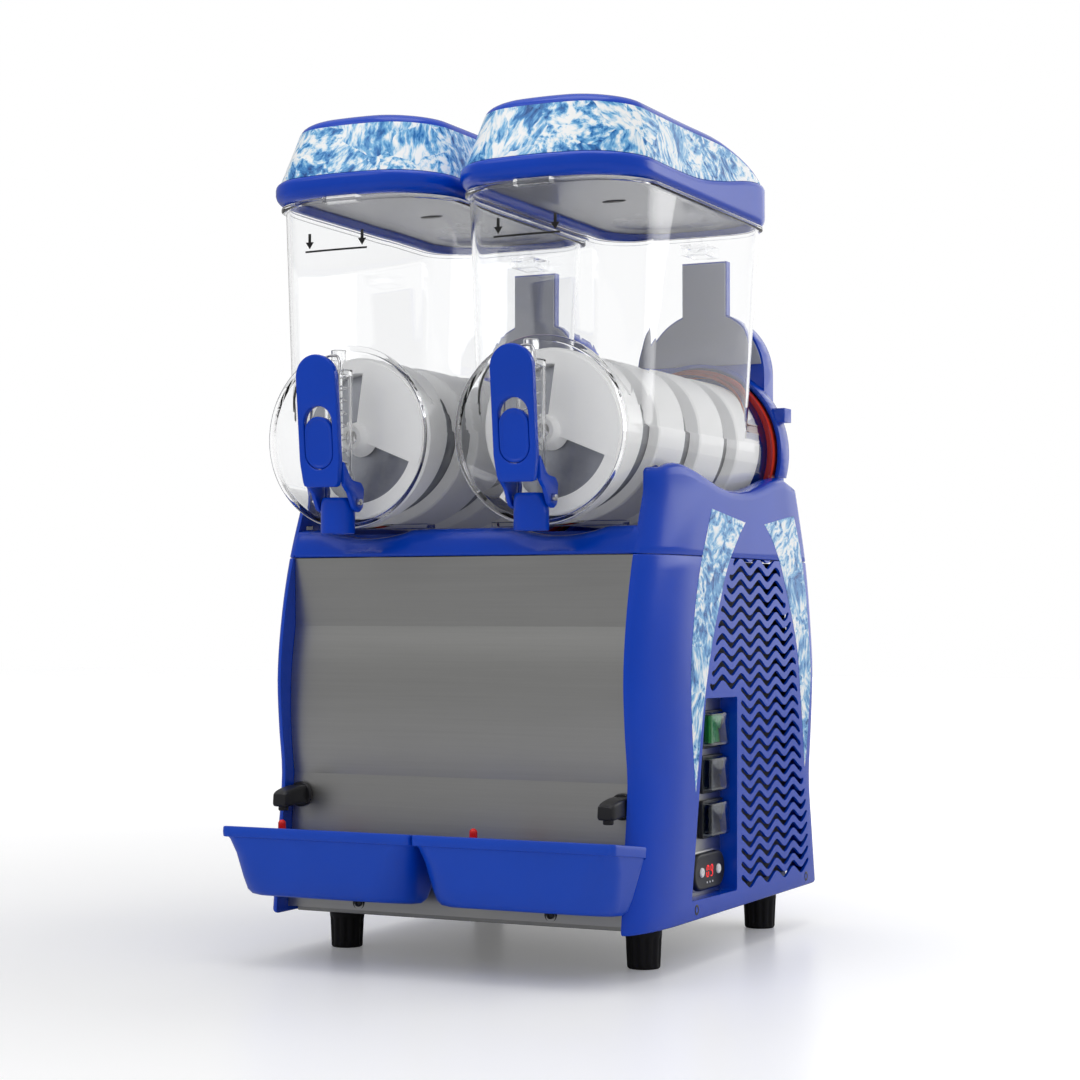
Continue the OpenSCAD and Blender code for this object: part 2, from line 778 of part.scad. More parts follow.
module tap_lever(x) {
    half = lever_w / 2;
    color(blue)
    translate([x, 0, 0]) difference() {
        union() {
            difference() {
                along_y(paddle_y, paddle_y + paddle_t) union() {
                    translate([0, lever_top - half]) circle(r = half, $fn = 64);
                    translate([-half, 460]) square([2 * half, lever_top - half - 460]);
                    polygon([[-half, 460.5], [-19, 441], [19, 441], [half, 460.5]]);
                }
                along_y(paddle_y - 2, paddle_y + paddle_t + 2) stadium(hole_half, 457, 515);
            }
            lever_cheek(20);
            lever_cheek(-24);
        }
        x_bar(3 + run_fit, -30, 30, -tap_y, lever_pivot_z);
    }
}
module tap_lever_left() tap_lever(unit_x[0]);
module tap_lever_right() tap_lever(unit_x[1]);

// Oval label button that fills the lower part of the lever's hole
module lever_insert(x) {
    color(blue) translate([x, 0, 0]) along_y(paddle_y + 0.6, paddle_y + paddle_t - 1) stadium(hole_half, 457, 506);
}
module lever_insert_left() lever_insert(unit_x[0]);
module lever_insert_right() lever_insert(unit_x[1]);

// ---------- drip trays ----------

// Places children in a tray's own frame
module tray_frame(x) {
    translate([x, -half_d, tray_z]) rotate([-tray_tilt, 0, 0]) children();
}
function tub_plan(hw, y0, y1, rf) = plan(hw, y0, y1, rf, 12, 0);

// Room of the side panel's foot beside a tray, grown by g
module panel_corner(x, g) {
    mirror([x < 0 ? 1 : 0, 0, 0]) along_x(half_w - 22.6 - g, half_w + 5)
        polygon([[foot_front[0] - 2.2 - g, foot_h - 12], [waist_front[0] - g, waist_z + 7],
            [-140, waist_z + 7], [-140, foot_h - 12]]);
}

module drip_tray(x) {
    color([0.14, 0.26, 0.63])
    difference() {
        tray_frame(x) union() {
            slab(plan(tray_w / 2, 0, tray_len, 6, 4, 0), -10, 0);
            hull() {
                slab(tub_plan(93, 3, tray_len - 2, 50), -9, -8);
                slab(tub_plan(82, 12, tray_len - 10, 42), -tray_deep, -tray_deep + 1);
            }
        }
        panel_corner(x, 0);
        // hollow of the rim skirt and of the tub
        difference() {
            tray_frame(x) {
                difference() {
                    slab(plan(tray_w / 2 - tray_wall, tray_wall, tray_len - tray_wall, 4, 3, 0), -12, -tray_wall);
                    slab(tub_plan(93.5, 2.5, tray_len - 1.5, 50), -13, 1);
                }
                hull() {
                    slab(tub_plan(93 - tray_wall, 3 + tray_wall, tray_len - 2 - tray_wall, 48), 0, 1);
                    slab(tub_plan(82 - tray_wall, 12 + tray_wall, tray_len - 12, 40),
                        -tray_deep + tray_wall, -tray_deep + 4);
                }
            }
            panel_corner(x, tray_wall);
        }
    }
}
module drip_tray_left() drip_tray(unit_x[0]);
module drip_tray_right() drip_tray(unit_x[1]);

float_dx = -48;
float_y = -240;

module tray_grille(x) {
    color([0.75, 0.76, 0.77])
    difference() {
        tray_frame(x) difference() {
            slab(tub_plan(86.4, 8.9, tray_len - 8, 47), -18, -15.5);
            for (i = [-4:4]) for (row = [0:2])
                translate([i * 17 - 6, 22 + row * 17, -20]) cube([12, 5, 6]);
        }
        translate([x + float_dx, float_y, 60]) cylinder(r = 4.6, h = 90, $fn = 32);
        panel_corner(x, tray_wall + loose_fit);
    }
}
module tray_grille_left() tray_grille(unit_x[0]);
module tray_grille_right() tray_grille(unit_x[1]);

module tray_float(x) {
    color([0.8, 0.1, 0.1]) translate([x + float_dx, float_y, 0]) {
        translate([0, 0, 78]) cylinder(r = 6.5, h = 12, $fn = 32);
        translate([0, 0, 89]) cylinder(r = 3.6, h = 46, $fn = 32);
        translate([0, 0, 135]) sphere(r = 3.6, $fn = 32);
    }
}
module tray_float_left() tray_float(unit_x[0]);
module tray_float_right() tray_float(unit_x[1]);

// ---------- the assembly ----------

feet();
base_chassis();
front_panel();
side_left();
side_right();
shoulder_left();
shoulder_right();
deck();
rear_cover();
control_plate();
rocker_top();
rocker_middle();
rocker_bottom();
thermostat();
thermostat_button_front();
thermostat_button_rear();
compressor();
condenser();
fan_motor();
fan_blades();
power_inlet();
panel_screws();
drain_spouts();
gearmotors();
evaporators();
column_housings();
column_faces();
column_connectors();
gasket_left();
gasket_right();
auger_left();
auger_right();
drive_shaft_left();
drive_shaft_right();
spout_block_left();
spout_block_right();
lever_pins_left();
lever_pins_right();
tap_piston_left();
tap_piston_right();
tap_spring_left();
tap_spring_right();
tap_lever_left();
tap_lever_right();
lever_insert_left();
lever_insert_right();
drip_tray_left();
drip_tray_right();
tray_grille_left();
tray_grille_right();
tray_float_left();
tray_float_right();
lid_shell_left();
lid_shell_right();
lid_band_left();
lid_band_right();
lid_diffuser_left();
lid_diffuser_right();
bowl_left();
bowl_right();
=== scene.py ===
# Twin-bowl slush machine: the visible pieces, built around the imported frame.
# Builders work in millimetres in the frame's own axes: X right, Y back, Z up, front towards -Y.
import bpy
import bmesh
import math
from mathutils import Matrix, Vector


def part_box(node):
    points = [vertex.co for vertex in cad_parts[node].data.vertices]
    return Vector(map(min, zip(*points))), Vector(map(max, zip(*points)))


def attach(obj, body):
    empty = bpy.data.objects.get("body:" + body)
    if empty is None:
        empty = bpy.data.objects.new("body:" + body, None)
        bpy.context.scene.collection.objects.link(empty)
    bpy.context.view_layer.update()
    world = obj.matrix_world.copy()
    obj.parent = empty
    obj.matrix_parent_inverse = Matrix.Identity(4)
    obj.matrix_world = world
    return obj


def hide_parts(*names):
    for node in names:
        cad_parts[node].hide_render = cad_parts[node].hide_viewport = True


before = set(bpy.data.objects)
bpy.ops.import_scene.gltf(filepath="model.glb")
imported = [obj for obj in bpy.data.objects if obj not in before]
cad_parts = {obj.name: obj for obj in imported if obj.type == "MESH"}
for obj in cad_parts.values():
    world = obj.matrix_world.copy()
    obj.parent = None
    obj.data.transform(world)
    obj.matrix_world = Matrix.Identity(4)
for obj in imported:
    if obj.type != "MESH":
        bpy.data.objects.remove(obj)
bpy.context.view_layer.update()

MM = 0.001


# ---------- places taken from the frame ----------

def span(node):
    """Lowest and highest corner of a CAD node, in millimetres."""
    lo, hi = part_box(node)
    return [v / MM for v in lo], [v / MM for v in hi]


def middle(node, axis):
    """Middle of a CAD node along one axis."""
    lo, hi = span(node)
    return (lo[axis] + hi[axis]) / 2


SIDES = {"left": -1, "right": 1}
UNIT_X = {side: middle("drive_shaft_" + side, 0) for side in SIDES}
AXIS_Z = middle("drive_shaft_left", 2)
HALF_W = span("side_right")[1][0]
FOOT_Z = span("side_right")[0][2]
SEAM_Z = span("side_right")[1][2]
EAR_Z = span("shoulder_right")[1][2]
REAR_Y = span("side_right")[1][1]
RIM_Z = span("bowl_left")[1][2]
LID_Z = span("lid_shell_left")[0][2]
LID_TOP = span("lid_shell_left")[1][2] - 7
TAP_Y = middle("tap_spring_left", 1)
PIVOT_Z = middle("lever_pins_left", 2)
LEVER_TOP = span("tap_lever_left")[1][2]
TRAY_Y = span("drip_tray_left")[0][1]
GASKET_Y = span("gasket_left")[1][1]
DECAL_T = 0.25
OUT_X = HALF_W - DECAL_T
IN_X = HALF_W - 22


# ---------- curves ----------

def lerp(a, b, t):
    return a + (b - a) * t


def hermite(p0, p1, m0, m1, t):
    """Cubic from p0 to p1 with end slopes m0 and m1."""
    t2, t3 = t * t, t * t * t
    return (2 * t3 - 3 * t2 + 1) * p0 + (t3 - 2 * t2 + t) * m0 + (3 * t2 - 2 * t3) * p1 + (t3 - t2) * m1


def value_at(points, u):
    """Smooth value at u of a curve through (u, value) points in rising order of u."""
    if u <= points[0][0]:
        return points[0][1]
    if u >= points[-1][0]:
        return points[-1][1]
    i = max(k for k in range(len(points) - 1) if points[k][0] <= u)
    (u0, v0), (u1, v1) = points[i], points[i + 1]
    before = points[max(i - 1, 0)]
    after = points[min(i + 2, len(points) - 1)]
    step = u1 - u0
    m0 = (v1 - before[1]) / (u1 - before[0]) * step
    m1 = (after[1] - v0) / (after[0] - u0) * step
    return hermite(v0, v1, m0, m1, (u - u0) / step)


def smooth_line(points, steps=8):
    """Points along a smooth curve through the given points, of any dimension."""
    out = []
    for i in range(len(points) - 1):
        before = points[max(i - 1, 0)]
        after = points[min(i + 2, len(points) - 1)]
        for k in range(steps):
            t = k / steps
            out.append(tuple(
                hermite(p, q, (q - b) / 2, (a - p) / 2, t)
                for b, p, q, a in zip(before, points[i], points[i + 1], after)
            ))
    out.append(tuple(points[-1]))
    return out


def arc(cx, cy, r, a0, a1, steps=12):
    """Points on an arc from angle a0 to a1, in degrees."""
    angles = [math.radians(lerp(a0, a1, i / steps)) for i in range(steps + 1)]
    return [(cx + r * math.cos(a), cy + r * math.sin(a)) for a in angles]


def rounded(points, radius, steps=6):
    """A closed outline with each corner replaced by an arc. radius is one number or one per corner."""
    radii = radius if isinstance(radius, (list, tuple)) else [radius] * len(points)
    out = []
    for i, r in enumerate(radii):
        here = Vector(points[i])
        back = (Vector(points[i - 1]) - here)
        ahead = (Vector(points[(i + 1) % len(points)]) - here)
        half = back.angle(ahead) / 2
        reach = min(r / math.tan(half), back.length / 2, ahead.length / 2)
        start = here + back.normalized() * reach
        end = here + ahead.normalized() * reach
        for k in range(steps + 1):
            t = k / steps
            out.append(tuple(start * (1 - t) ** 2 + here * 2 * t * (1 - t) + end * t * t))
    return out


def rectangle(u0, v0, u1, v1):
    """The four corners of an upright rectangle."""
    return [(u0, v0), (u1, v0), (u1, v1), (u0, v1)]


def level(outline, z):
    """A plan outline laid at a height."""
    return [(x, y, z) for x, y in outline]


def stadium(half, z0, z1, x=0.0, steps=16):
    """Upright oval outline between two heights."""
    return arc(x, z1 - half, half, 0, 180, steps) + arc(x, z0 + half, half, 180, 360, steps)


def plan(half, front, rear, front_r, rear_r, bulge):
    """Plan outline of a lid, hopper or tray, from the middle of the rear edge round by the left side."""
    side = 20
    reach = half - front_r
    out = [(0.0, rear), (-(half - rear_r) / 2, rear)]
    out += arc(-(half - rear_r), rear - rear_r, rear_r, 90, 180, 10)
    out += [(-half, lerp(rear - rear_r, front + front_r, i / side)) for i in range(1, side)]
    nose = arc(-reach, front + front_r, front_r, 180, 270, 12)
    nose += [(reach * (i / 8 - 1), front) for i in range(1, 16)]
    nose += arc(reach, front + front_r, front_r, 270, 360, 12)
    out += [(x, y - bulge * (1 - (x / half) ** 2)) for x, y in nose]
    out += [(half, lerp(front + front_r, rear - rear_r, i / side)) for i in range(1, side)]
    out += arc(half - rear_r, rear - rear_r, rear_r, 0, 90, 10)
    out.append(((half - rear_r) / 2, rear))
    return out


# ---------- meshes ----------

def loft(rings, closed=True, first=True, last=True):
    """Vertices and faces of a skin over rings of equal length, with optional end caps."""
    n = len(rings[0])
    verts = [p for ring in rings for p in ring]
    faces = []
    for i in range(len(rings) - 1):
        for j in range(n if closed else n - 1):
            a = i * n + j
            b = i * n + (j + 1) % n
            faces.append((a, b, b + n, a + n))
    if first:
        faces.append(tuple(range(n - 1, -1, -1)))
    if last:
        faces.append(tuple(range((len(rings) - 1) * n, len(rings) * n)))
    return verts, faces


def turned(profile, centre, axis="y", steps=96):
    """A lathe shape: profile is (radius, place along the axis), centre the two other coordinates."""
    rings = []
    for i in range(steps):
        a = 2 * math.pi * i / steps
        c, s = math.cos(a), math.sin(a)
        ring = []
        for r, h in profile:
            u, v = centre[0] + r * c, centre[1] + r * s
            ring.append({"x": (h, u, v), "y": (u, h, v), "z": (u, v, h)}[axis])
        rings.append(ring)
    rings.append(rings[0])
    return loft(rings, closed=False, first=False, last=False)


def tube(points, radius, sides=12, ends=True):
    """A round bar swept along points. radius is one number or one per point."""
    pts = [Vector(p) for p in points]
    radii = radius if isinstance(radius, (list, tuple)) else [radius] * len(pts)
    normal = None
    rings = []
    for i, p in enumerate(pts):
        tangent = (pts[min(i + 1, len(pts) - 1)] - pts[max(i - 1, 0)]).normalized()
        if normal is None:
            normal = tangent.orthogonal()
        normal = (normal - tangent * normal.dot(tangent)).normalized()
        other = tangent.cross(normal)
        rings.append([
            tuple(p + (normal * math.cos(a) + other * math.sin(a)) * radii[i])
            for a in (2 * math.pi * k / sides for k in range(sides))
        ])
    return loft(rings, first=ends, last=ends)


def bar(outline, axis, low, high):
    """An outline extruded along an axis. The outline holds the two other coordinates in axis order."""
    def put(p, h):
        return {"x": (h, p[0], p[1]), "y": (p[0], h, p[1]), "z": (p[0], p[1], h)}[axis]
    return loft([[put(p, low) for p in outline], [put(p, high) for p in outline]])


def joined(*shapes):
    """Several (vertices, faces) shapes as one."""
    verts, faces = [], []
    for v, f in shapes:
        base = len(verts)
        verts += list(v)
        faces += [tuple(i + base for i in face) for face in f]
    return verts, faces


def moved(shape, dx=0.0, dy=0.0, dz=0.0):
    verts, faces = shape
    return [(x + dx, y + dy, z + dz) for x, y, z in verts], faces


def mirrored(shape, side):
    """The shape as drawn for the right, or its mirror image for the left."""
    verts, faces = shape
    return [(x * side, y, z) for x, y, z in verts], faces


def mesh_of(name, shape, weld=True):
    """A Blender mesh in metres with clean outward normals."""
    verts, faces = shape
    mesh = bpy.data.meshes.new(name)
    mesh.from_pydata([[c * MM for c in v] for v in verts], [], faces)
    bm = bmesh.new()
    bm.from_mesh(mesh)
    if weld:
        bmesh.ops.remove_doubles(bm, verts=bm.verts, dist=2e-6)
        bmesh.ops.dissolve_degenerate(bm, edges=bm.edges, dist=1e-6)
    bmesh.ops.recalc_face_normals(bm, faces=bm.faces)
    bm.to_mesh(mesh)
    bm.free()
    return mesh


def new_object(name, mesh):
    obj = bpy.data.objects.new(name, mesh)
    bpy.context.scene.collection.objects.link(obj)
    return obj


def evaluated(obj):
    """A copy of the object's mesh with its modifiers applied."""
    bpy.context.view_layer.update()
    graph = bpy.context.evaluated_depsgraph_get()
    return bpy.data.meshes.new_from_object(obj.evaluated_get(graph))


def combine(base, other, operation, solver="EXACT"):
    """The boolean of two meshes, as a new mesh."""
    a = new_object("boolean_a", base)
    b = new_object("boolean_b", other)
    modifier = a.modifiers.new("boolean", "BOOLEAN")
    modifier.operation = operation
    modifier.solver = solver
    modifier.object = b
    result = evaluated(a)
    bpy.data.objects.remove(a)
    bpy.data.objects.remove(b)
    return result


def thickened(mesh, amount):
    """A sheet given its wall inwards."""
    obj = new_object("sheet", mesh)
    modifier = obj.modifiers.new("wall", "SOLIDIFY")
    modifier.thickness = amount * MM
    modifier.offset = -1
    result = evaluated(obj)
    bpy.data.objects.remove(obj)
    return result


def plate(outlines, axis, low, high, edge=0.6):
    """A flat plate with holes and rounded edges: the first outline is its border and the rest are holes."""
    curve = bpy.data.curves.new("outline", "CURVE")
    curve.dimensions = "2D"
    curve.fill_mode = "BOTH"
    curve.extrude = ((high - low) / 2 - edge) * MM
    curve.bevel_depth = edge * MM
    curve.bevel_resolution = 2
    curve.offset = -edge * MM
    for outline in outlines:
        spline = curve.splines.new("POLY")
        spline.points.add(len(outline) - 1)
        for point, (u, v) in zip(spline.points, outline):
            point.co = (u * MM, v * MM, 0, 1)
        spline.use_cyclic_u = True
    obj = new_object("outline", curve)
    mesh = evaluated(obj)
    bpy.data.objects.remove(obj)
    centre = (low + high) / 2
    verts = []
    for vertex in mesh.vertices:
        u, v, w = (c / MM for c in vertex.co)
        verts.append({"x": (w + centre, u, v), "y": (u, w + centre, v), "z": (u, v, w + centre)}[axis])
    faces = [tuple(face.vertices) for face in mesh.polygons]
    bpy.data.meshes.remove(mesh)
    return verts, faces


def finish_piece(obj, body, material, replaces=(), sharp=32, bevel=0.0):
    """Shades a new piece, gives it its material and says what it rides on."""
    obj.data.materials.clear()
    obj.data.materials.append(material)
    obj.data.polygons.foreach_set("use_smooth", [True] * len(obj.data.polygons))
    if bevel:
        modifier = obj.modifiers.new("bevel", "BEVEL")
        modifier.width = bevel * MM
        modifier.segments = 3
        modifier.limit_method = "ANGLE"
        modifier.angle_limit = math.radians(sharp)
        modifier.harden_normals = True
    else:
        obj.data.set_sharp_from_angle(angle=math.radians(sharp))
    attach(obj, body)
    if replaces:
        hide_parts(*replaces)
    return obj


def piece(name, shape, body, material, replaces=(), sharp=32, bevel=0.0):
    """One visible piece from (vertices, faces) or from a finished mesh."""
    mesh = shape if isinstance(shape, bpy.types.Mesh) else mesh_of(name, shape)
    mesh.name = name
    return finish_piece(new_object(name, mesh), body, material, replaces, sharp, bevel)


# ---------- materials ----------

def srgb(r, g, b):
    """A colour given as 0 to 255 screen values, as linear light."""
    def linear(c):
        c = c / 255
        return c / 12.92 if c <= 0.04045 else ((c + 0.055) / 1.055) ** 2.4
    return (linear(r), linear(g), linear(b), 1.0)


def shade(colour, factor):
    return tuple(min(1.0, c * factor) for c in colour[:3]) + (1.0,)


class Nodes:
    """Short names for building one material's node tree."""

    def __init__(self, name):
        self.material = bpy.data.materials.new(name)
        self.material.use_nodes = True
        self.tree = self.material.node_tree
        self.shader = self.tree.nodes["Principled BSDF"]
        self.place = self.add("ShaderNodeTexCoord").outputs["Object"]

    def add(self, kind, **settings):
        node = self.tree.nodes.new(kind)
        for key, value in settings.items():
            if key in node.inputs:
                node.inputs[key].default_value = value
            else:
                setattr(node, key, value)
        return node

    def link(self, source, target):
        self.tree.links.new(source, target)

    def mapped(self, scale, source=None, rotation=(0, 0, 0)):
        node = self.add("ShaderNodeMapping", Scale=scale, Rotation=rotation)
        self.link(source or self.place, node.inputs["Vector"])
        return node.outputs["Vector"]

    def noise(self, vector, scale, detail=3.0, roughness=0.5, distortion=0.0):
        node = self.add(
            "ShaderNodeTexNoise", Scale=scale, Detail=detail, Roughness=roughness, Distortion=distortion
        )
        self.link(vector, node.inputs["Vector"])
        return node.outputs["Fac"]

    def ramp(self, factor, stops):
        node = self.add("ShaderNodeValToRGB")
        elements = node.color_ramp.elements
        while len(elements) < len(stops):
            elements.new(0.5)
        for element, (position, colour) in zip(elements, stops):
            element.position = position
            element.color = colour
        self.link(factor, node.inputs["Fac"])
        return node.outputs["Color"]

    def spread(self, factor, low, high):
        node = self.add("ShaderNodeMapRange", **{"To Min": low, "To Max": high})
        self.link(factor, node.inputs["Value"])
        return node.outputs["Result"]

    def math(self, operation, a, b):
        node = self.add("ShaderNodeMath", operation=operation)
        for socket, value in zip(node.inputs, (a, b)):
            if isinstance(value, (int, float)):
                socket.default_value = value
            else:
                self.link(value, socket)
        return node.outputs["Value"]

    def bump(self, height, strength, distance=0.0004):
        node = self.add("ShaderNodeBump", Strength=strength, Distance=distance)
        self.link(height, node.inputs["Height"])
        self.link(node.outputs["Normal"], self.shader.inputs["Normal"])

    def set(self, **values):
        for key, value in values.items():
            self.shader.inputs[key.replace("_", " ")].default_value = value


def moulded(name, colour, rough=(0.26, 0.36), vary=0.10, grain=700.0, bump=0.05, **values):
    """Moulded plastic: cloudy colour, uneven gloss and a fine mould texture."""
    n = Nodes(name)
    cloud = n.noise(n.place, 9.0, 4.0)
    n.link(
        n.ramp(cloud, [(0.3, shade(colour, 1 - vary)), (0.7, shade(colour, 1 + vary))]),
        n.shader.inputs["Base Color"]
    )
    n.link(n.spread(n.noise(n.place, 34.0, 5.0), rough[0], rough[1]), n.shader.inputs["Roughness"])
    n.bump(n.noise(n.place, grain, 2.0), bump)
    n.set(**values)
    return n.material


def brushed(name, colour, rough=(0.26, 0.40), stretch=(3, 260, 260), vary=0.10, bump=0.06, **values):
    """Brushed metal with long fine scratches along its least stretched axis."""
    n = Nodes(name)
    streaks = n.noise(n.mapped(stretch), 1.0, 6.0, 0.65)
    cloud = n.noise(n.place, 5.0, 3.0)
    both = n.math("ADD", n.math("MULTIPLY", streaks, 0.7), n.math("MULTIPLY", cloud, 0.3))
    n.link(
        n.ramp(both, [(0.32, shade(colour, 1 - vary)), (0.68, shade(colour, 1 + vary))]),
        n.shader.inputs["Base Color"]
    )
    n.link(n.spread(streaks, rough[0], rough[1]), n.shader.inputs["Roughness"])
    n.bump(streaks, bump)
    n.set(Metallic=1.0, **values)
    return n.material


def clear_plastic(name, colour, rough=(0.0, 0.02), bump=0.010, **values):
    """Clear polycarbonate with faint mould waves, its colour darkened where the wall turns edge-on as painted
    shade.
    """
    n = Nodes(name)
    cloud = n.noise(n.place, 6.0, 2.0)
    facing = n.add("ShaderNodeLayerWeight", Blend=0.5).outputs["Facing"]
    edge = n.math("ADD", facing, n.math("MULTIPLY", cloud, 0.04))
    # The colour darkens towards grazing edges: painted shade for the dark edge lines of the clear walls.
    tint = [(0.72, colour), (0.88, shade(colour, 0.95)), (0.99, shade(colour, 0.34))]
    n.link(n.ramp(edge, tint), n.shader.inputs["Base Color"])
    n.link(n.spread(n.noise(n.place, 40.0, 3.0), rough[0], rough[1]), n.shader.inputs["Roughness"])
    n.bump(n.noise(n.place, 22.0, 1.0), bump, 0.002)
    n.set(Transmission_Weight=1.0, IOR=1.24, **values)
    return n.material


def ice_print(name):
    """Printed film of frost: fans of crystal needles that lie in a different direction in each patch."""
    n = Nodes(name)
    warp = n.add("ShaderNodeTexNoise", Scale=22.0, Detail=3.0)
    n.link(n.place, warp.inputs["Vector"])
    mix = n.add("ShaderNodeMix", data_type="VECTOR")
    mix.inputs["Factor"].default_value = 0.022
    n.link(n.place, mix.inputs[4])
    n.link(warp.outputs["Color"], mix.inputs[5])
    bent = mix.outputs[1]
    patches = n.add("ShaderNodeTexVoronoi", feature="F1", Scale=27.0, Randomness=1.0)
    n.link(bent, patches.inputs["Vector"])
    turn = n.add("ShaderNodeVectorMath", operation="SCALE")
    turn.inputs["Scale"].default_value = 6.28
    n.link(patches.outputs["Color"], turn.inputs[0])
    turned_place = n.add("ShaderNodeVectorRotate", rotation_type="EULER_XYZ")
    n.link(bent, turned_place.inputs["Vector"])
    n.link(turn.outputs["Vector"], turned_place.inputs["Rotation"])
    needles = n.noise(n.mapped((38, 150, 150), turned_place.outputs["Vector"]), 1.0, 4.0, 0.6)
    drifts = n.noise(bent, 22.0, 3.0)
    total = n.math("ADD", n.math("MULTIPLY", needles, 0.62), n.math("MULTIPLY", drifts, 0.38))
    colours = [
        (0.34, srgb(6, 74, 146)), (0.43, srgb(36, 126, 198)), (0.49, srgb(124, 190, 234)),
        (0.535, srgb(222, 239, 250)), (0.58, srgb(254, 255, 255)),
    ]
    n.link(n.ramp(total, colours), n.shader.inputs["Base Color"])
    n.link(n.spread(needles, 0.22, 0.36), n.shader.inputs["Roughness"])
    n.bump(needles, 0.03)
    return n.material


def rubber(name, colour, rough=(0.5, 0.7)):
    """Matt rubber with a dusty grain."""
    return moulded(name, colour, rough, 0.18, 420.0, 0.12, Specular_IOR_Level=0.35)


def glowing(name, colour, strength):
    """A lit lens or display segment."""
    n = Nodes(name)
    cloud = n.noise(n.place, 120.0, 2.0)
    tint = n.ramp(cloud, [(0.3, shade(colour, 0.8)), (0.7, colour)])
    n.link(tint, n.shader.inputs["Base Color"])
    n.link(tint, n.shader.inputs["Emission Color"])
    n.link(n.spread(cloud, 0.2, 0.35), n.shader.inputs["Roughness"])
    n.set(Emission_Strength=strength)
    return n.material


BLUE = moulded("blue_plastic", srgb(0, 64, 188), (0.18, 0.26), 0.06, 900.0, 0.03, Specular_IOR_Level=0.37)
TRAY_BLUE = moulded("tray_plastic", srgb(4, 68, 188), (0.26, 0.36), 0.06, 620.0, 0.06, Specular_IOR_Level=0.4)
STEEL = brushed("brushed_steel", srgb(190, 190, 188), (0.30, 0.40), (6, 420, 420), 0.05, 0.03)
DRUM_STEEL = brushed("drum_steel", srgb(150, 152, 158), (0.38, 0.5), (240, 3, 240))
CHASSIS = brushed("zinc_sheet", srgb(170, 170, 168), (0.38, 0.55), (30, 30, 30), 0.16, 0.10)
CLEAR = clear_plastic("clear_polycarbonate", (0.988, 0.991, 0.994, 1.0))
SMOKED = clear_plastic("clear_cover", (0.86, 0.90, 0.92, 1.0), (0.02, 0.08))
WHITE = moulded("white_plastic", srgb(240, 240, 240), (0.34, 0.46), 0.02, 800.0, 0.04)
# White auger plastic with a faint painted glow that lightens it where the bowl shades it.
AUGER_WHITE_GLOW = moulded(
    "white_plastic_painted_glow", srgb(244, 244, 243), (0.34, 0.46), 0.02, 500.0, 0.04, Emission_Color=(1, 1, 1, 1),
    Emission_Strength=0.09
)
GREY = moulded("grey_plastic", srgb(164, 167, 180), (0.45, 0.6), 0.04, 500.0, 0.06)
DIFFUSER = moulded(
    "diffuser_plastic", srgb(150, 152, 160), (0.14, 0.24), 0.04, 240.0, 0.05, Transmission_Weight=0.25
)
ICE = ice_print("ice_print")
GASKET_RED = rubber("gasket_red", srgb(158, 18, 24), (0.32, 0.5))
GASKET_ORANGE = rubber("gasket_orange", srgb(232, 58, 30), (0.3, 0.45))
BLACK = moulded("black_plastic", srgb(30, 30, 33), (0.32, 0.5), 0.15, 600.0, 0.10)
FOOT = rubber("foot_rubber", srgb(22, 21, 23))
RED = moulded("float_red", srgb(224, 22, 18), (0.2, 0.3), 0.06)
MACHINE = moulded("machine_paint", srgb(30, 31, 34), (0.3, 0.5), 0.2, 160.0, 0.2)
MOTOR = moulded("motor_paint", srgb(104, 108, 114), (0.35, 0.55), 0.12, 220.0, 0.2)
FIN = brushed("aluminium_fins", srgb(190, 192, 194), (0.35, 0.5), (90, 90, 4))
SHAFT = brushed("ground_steel", srgb(200, 200, 202), (0.16, 0.28), (300, 6, 300))
SCREW = brushed("dark_screw", srgb(66, 66, 70), (0.3, 0.45), (120, 120, 120))
INK = moulded("black_ink", srgb(12, 12, 14), (0.4, 0.5), 0.1, 500.0, 0.04)
GREEN = glowing("green_lens", srgb(40, 130, 60), 0.35)
DIGIT_RED = glowing("red_digits", srgb(220, 20, 24), 1.6)


# ---------- outlines of the casing ----------

# Front and rear edge of the side panels and shoulders: (height, place along Y)
FRONT_EDGE = [
    (FOOT_Z, -202), (110, -194), (173, -187), (220, -193), (268, -196), (325, -188.5), (SEAM_Z, -174),
    (436, -151)
]
REAR_EDGE = [
    (FOOT_Z, REAR_Y), (100, 254), (155, 246), (210, 253), (268, 258), (325, 250), (SEAM_Z, 237), (430, 216),
    (454, 205)
]
# Where the rounded front of a side panel becomes its flat side
RIDGE = [(FOOT_Z, -112), (150, -98), (245, -93), (337, -88), (393, -77), (444, -48)]
SADDLE = [
    (-140, 458.5), (-124, 462.5), (-100, EAR_Z), (-60, 457.4), (-20, 449), (24, 444.5), (70, 447),
    (115, 455.5), (152, EAR_Z), (172, 462.5), (196, 456), (212, 446)
]
REAR_ROUND = 14


def side_section(z, inset=0.0):
    """Plan section of the right side panel or shoulder, from the inner front corner round to the rear."""
    front = value_at(FRONT_EDGE, z) + inset
    rear = value_at(REAR_EDGE, z) - inset
    ridge = value_at(RIDGE, z)
    out_x = OUT_X - inset
    width = out_x - IN_X
    out = [(IN_X, front + 20), (IN_X, front + 6)]
    for i in range(0, 19):
        a = math.radians(5 * i)
        out.append((IN_X + width * math.sin(a), ridge - (ridge - front) * math.cos(a)))
    flat_end = rear - REAR_ROUND
    out += [(out_x, lerp(ridge, flat_end, i / 8)) for i in range(1, 8)]
    out += arc(out_x - REAR_ROUND, flat_end, REAR_ROUND, 0, 90, 6)
    out += [(IN_X, rear), (IN_X, rear - 10)]
    return out


